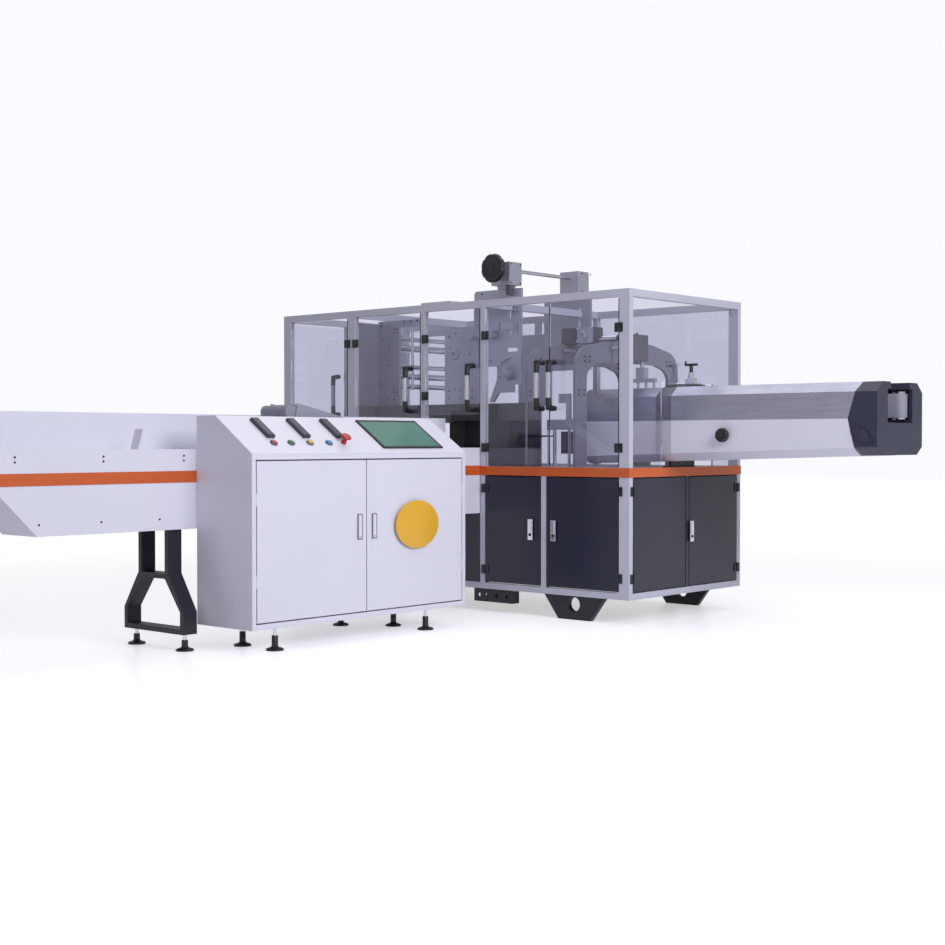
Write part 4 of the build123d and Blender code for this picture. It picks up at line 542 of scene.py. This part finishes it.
# ---------- levelling feet: bell sole, black sleeve and bright stem ----------
footPlaces = dict(console=[(x, y, 0.111) for x in (-0.322, -0.557) for y in (-0.868, -1.902)],
                  stands=[(x, y, 0.08) for x in (-1.003, -0.627) for y in (-2.193, -3.782)] + [(-0.784, -1.038, 0.08)])
soles, stems = [], []
for x, y, top in footPlaces["console"] + footPlaces["stands"]:
    soles.append(addTurned([(0, 0), (0.041, 0), (0.043, 0.003), (0.042, 0.008), (0.034, 0.012), (0.02, 0.016),
                            (0.0155, 0.022), (0.015, top * 0.62), (0.0135, top * 0.64), (0.009, top * 0.64)],
                           (x, y, 0), (0, 0, 1), 40))
    stems.append(addTurned([(0.009, 0.01), (0.009, top), (0, top)], (x, y, 0), (0, 0, 1), 20))
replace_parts(joinPieces(soles, "footSoles", "mouldedBlack", "machine"), "levelling_feet")
joinPieces(stems, "footStems", "groundSteel", "machine")
print("feet and flanges turned")

# ---------- screws ----------
panelFace, bedEnd = -0.675, -4.03
screwGroups = {
    "infeedScrews": dict(radius=0.005, height=0.003, axis=(1, 0, 0),
                         places=[(panelFace, y, z) for y in [-0.366 - 0.448 * i for i in range(9)]
                                 for z in (0.916, 0.894) if y > bedEnd + 0.05]
                         + [(panelFace, -2.938 + 0.3195 * i, 0.621) for i in range(8)]),
    "headBearingScrews": dict(radius=0.0065, height=0.006, axis=(0, -1, 0),
                              places=[(1.536, 0.266, 1.048), (1.612, 0.266, 0.986)]),
    "filmBolts": dict(radius=0.007, height=0.005, axis=(0, -1, 0),
                      places=[(x, 0.205, 1.735) for x in (-1.509, -1.453, -1.397)]),
    "filmScrews": dict(radius=0.005, height=0.0035, axis=(0, -1, 0),
                       places=[(x, 0.205, z) for x, z in (
                           (-1.712, 1.736), (-1.712, 1.716), (-1.699, 1.632), (-1.645, 1.587), (-1.645, 1.567),
                           (-1.645, 1.468), (-1.712, 1.349), (-1.712, 1.33), (-1.598, 1.692), (-1.571, 1.692),
                           (-1.598, 1.67), (-1.571, 1.67), (-1.599, 1.316), (-1.572, 1.316), (-1.599, 1.293),
                           (-1.572, 1.293), (-1.711, 1.25), (-1.655, 1.25), (-1.599, 1.25), (-1.128, 1.621),
                           (-1.074, 1.638), (-1.121, 1.55), (-0.962, 1.509), (-1.129, 1.293), (-1.08, 1.3),
                           (-1.036, 1.293), (-0.94, 1.293), (-1.036, 1.244), (-0.94, 1.244), (-1.129, 1.246))]),
    "formingScrews": dict(radius=0.005, height=0.0035, axis=(0, -1, 0),
                          places=[(x, 0.22, z) for x, z in (
                              (-0.877, 1.868), (-0.627, 1.773), (-0.599, 1.773), (-0.627, 1.752), (-0.599, 1.752),
                              (-0.627, 1.736), (-0.87, 1.773), (-0.87, 1.75), (-0.87, 1.727), (-0.825, 1.467),
                              (-0.825, 1.45), (-0.802, 1.464))]),
    "hubScrews": dict(radius=0.004, height=0.003, axis=(0, -1, 0),
                      places=[(-0.682 + 0.031 * cos(a), 0.1865, 1.387 + 0.031 * sin(a))
                              for a in [pi / 4 + pi / 2 * i for i in range(4)]]),
    "gearboxScrews": dict(radius=0.006, height=0.005, axis=(0, -1, 0), finish="chromePlate",
                          places=[(x, 0.331, z) for x in (-0.241, -0.151) for z in (1.5595, 1.632)]),
    "archScrews": dict(radius=0.0055, height=0.004, axis=(1, 0, 0),
                       places=[(face, y, z) for face in (0.0, -0.351) for y, z in (
                           (0.085, 1.457), (0.129, 1.457), (0.085, 1.43), (0.129, 1.43), (0.033, 1.267),
                           (0.077, 1.267), (0.033, 1.243), (0.077, 1.243), (0.877, 1.457), (0.918, 1.457),
                           (0.877, 1.43), (0.918, 1.43))]),
    "gearBlockScrews": dict(radius=0.0045, height=0.003, axis=(1, 0, 0),
                            places=[(-0.63, y, z) for y in (0.192, 0.28, 0.88, 0.968) for z in (1.917, 2.028)]),
}
for name, sheet in screwGroups.items():
    addScrews(sheet, name, "machine")
print("screws set")

# ---------- stage: floor, lamps, world and camera ----------
stage = dict(size=60.0, centre=(-0.3, -0.6), near=2.6, far=6.5, floor="#e9e9f2", lift=0.5)
bpy.ops.mesh.primitive_plane_add(size=stage["size"], location=(0, 0, 0))
floor = settle(bpy.context.active_object)
floor.name = "studioFloor"
paper = bpy.data.materials.new("studioFloor")
paper.use_nodes = True
tree = paper.node_tree
tree.nodes.clear()
place = addNode(tree, "TexCoord", {}).outputs["Object"]
away = addNode(tree, "VectorMath", {0: place, 1: (stage["centre"][0], stage["centre"][1], 0)}, operation="DISTANCE")
fade = addNode(tree, "MapRange", {"Value": away.outputs["Value"], "From Min": stage["near"], "From Max": stage["far"]},
               interpolation_type="SMOOTHSTEP").outputs["Result"]
ray = addNode(tree, "LightPath", {})
seen = addNode(tree, "Math", {0: ray.outputs["Is Camera Ray"], 1: ray.outputs["Is Glossy Ray"]},
               operation="MAXIMUM").outputs[0]
seen = addNode(tree, "Math", {0: seen, 1: ray.outputs["Is Transmission Ray"]}, operation="MAXIMUM").outputs[0]
coat = addNode(tree, "BsdfPrincipled", {"Base Color": toLinear(stage["floor"]), "Roughness": 0.28,
                                        "Specular IOR Level": 0.12})
lift = addNode(tree, "Emission", {"Color": (1, 1, 1, 1), "Strength": addNode(
    tree, "Math", {0: seen, 1: stage["lift"]}, operation="MULTIPLY").outputs[0]})
lit = addNode(tree, "AddShader", {0: coat.outputs[0], 1: lift.outputs[0]})
white = addNode(tree, "Emission", {"Color": (1, 1, 1, 1), "Strength": 1.0})
seenFade = addNode(tree, "Math", {0: fade, 1: seen}, operation="MULTIPLY").outputs[0]
both = addNode(tree, "MixShader", {0: seenFade, 1: lit.outputs[0], 2: white.outputs[0]})
out = addNode(tree, "OutputMaterial", {})
tree.links.new(both.outputs[0], out.inputs["Surface"])
floor.data.materials.append(paper)

world = bpy.data.worlds.new("studio")
scene.world = world
world.use_nodes = True
tree = world.node_tree
tree.nodes.clear()
ray = addNode(tree, "LightPath", {})
seen = addNode(tree, "Math", {0: ray.outputs["Is Camera Ray"], 1: ray.outputs["Is Transmission Ray"]},
               operation="MAXIMUM").outputs[0]
gloss = addNode(tree, "MapRange", {"Value": ray.outputs["Is Glossy Ray"], "To Min": 0.22, "To Max": 0.5})
strength = addNode(tree, "Mix", {0: seen, 2: gloss.outputs["Result"], 3: 1.0}, data_type="FLOAT").outputs[0]
sky = addNode(tree, "Background", {"Color": toLinear("#fbfbff"), "Strength": strength})
out = addNode(tree, "OutputWorld", {})
tree.links.new(sky.outputs[0], out.inputs["Surface"])

lamps = {
    "keySoftbox": dict(at=(6.4, -2.0, 4.0), to=(0.0, -0.6, 0.9), size=(3.6, 2.8), watts=290),
    "frontSoftbox": dict(at=(2.6, -6.2, 3.6), to=(0.6, 0.2, 1.0), size=(3.5, 2.5), watts=28),
    "overhead": dict(at=(-0.5, 0.2, 5.5), to=(-0.5, -0.2, 0.0), size=(6.0, 5.0), watts=120),
}
for name, sheet in lamps.items():
    light = bpy.data.lights.new(name, "AREA")
    light.shape, light.size, light.size_y = "RECTANGLE", sheet["size"][0], sheet["size"][1]
    light.energy, light.color = sheet["watts"], (0.97, 0.97, 1.0)
    lamp = bpy.data.objects.new(name, light)
    scene.collection.objects.link(lamp)
    lamp.location = sheet["at"]
    lamp.rotation_euler = (Vector(sheet["to"]) - Vector(sheet["at"])).to_track_quat("-Z", "Y").to_euler()
    lamp.visible_camera = False

view = dict(at=(5.02, -6.54, 0.984), turn=41.472, down=1.192, lens=56.85)
eye = bpy.data.cameras.new("photoCamera")
eye.sensor_fit, eye.sensor_width, eye.sensor_height, eye.lens = "HORIZONTAL", 36.0, 36.0, view["lens"]
eye.clip_end = 200
camera = bpy.data.objects.new("photoCamera", eye)
scene.collection.objects.link(camera)
camera.location = view["at"]
camera.rotation_euler = (radians(90 - view["down"]), 0, radians(view["turn"]))
scene.camera = camera
scene.view_settings.view_transform = "Standard"
print("stage set")
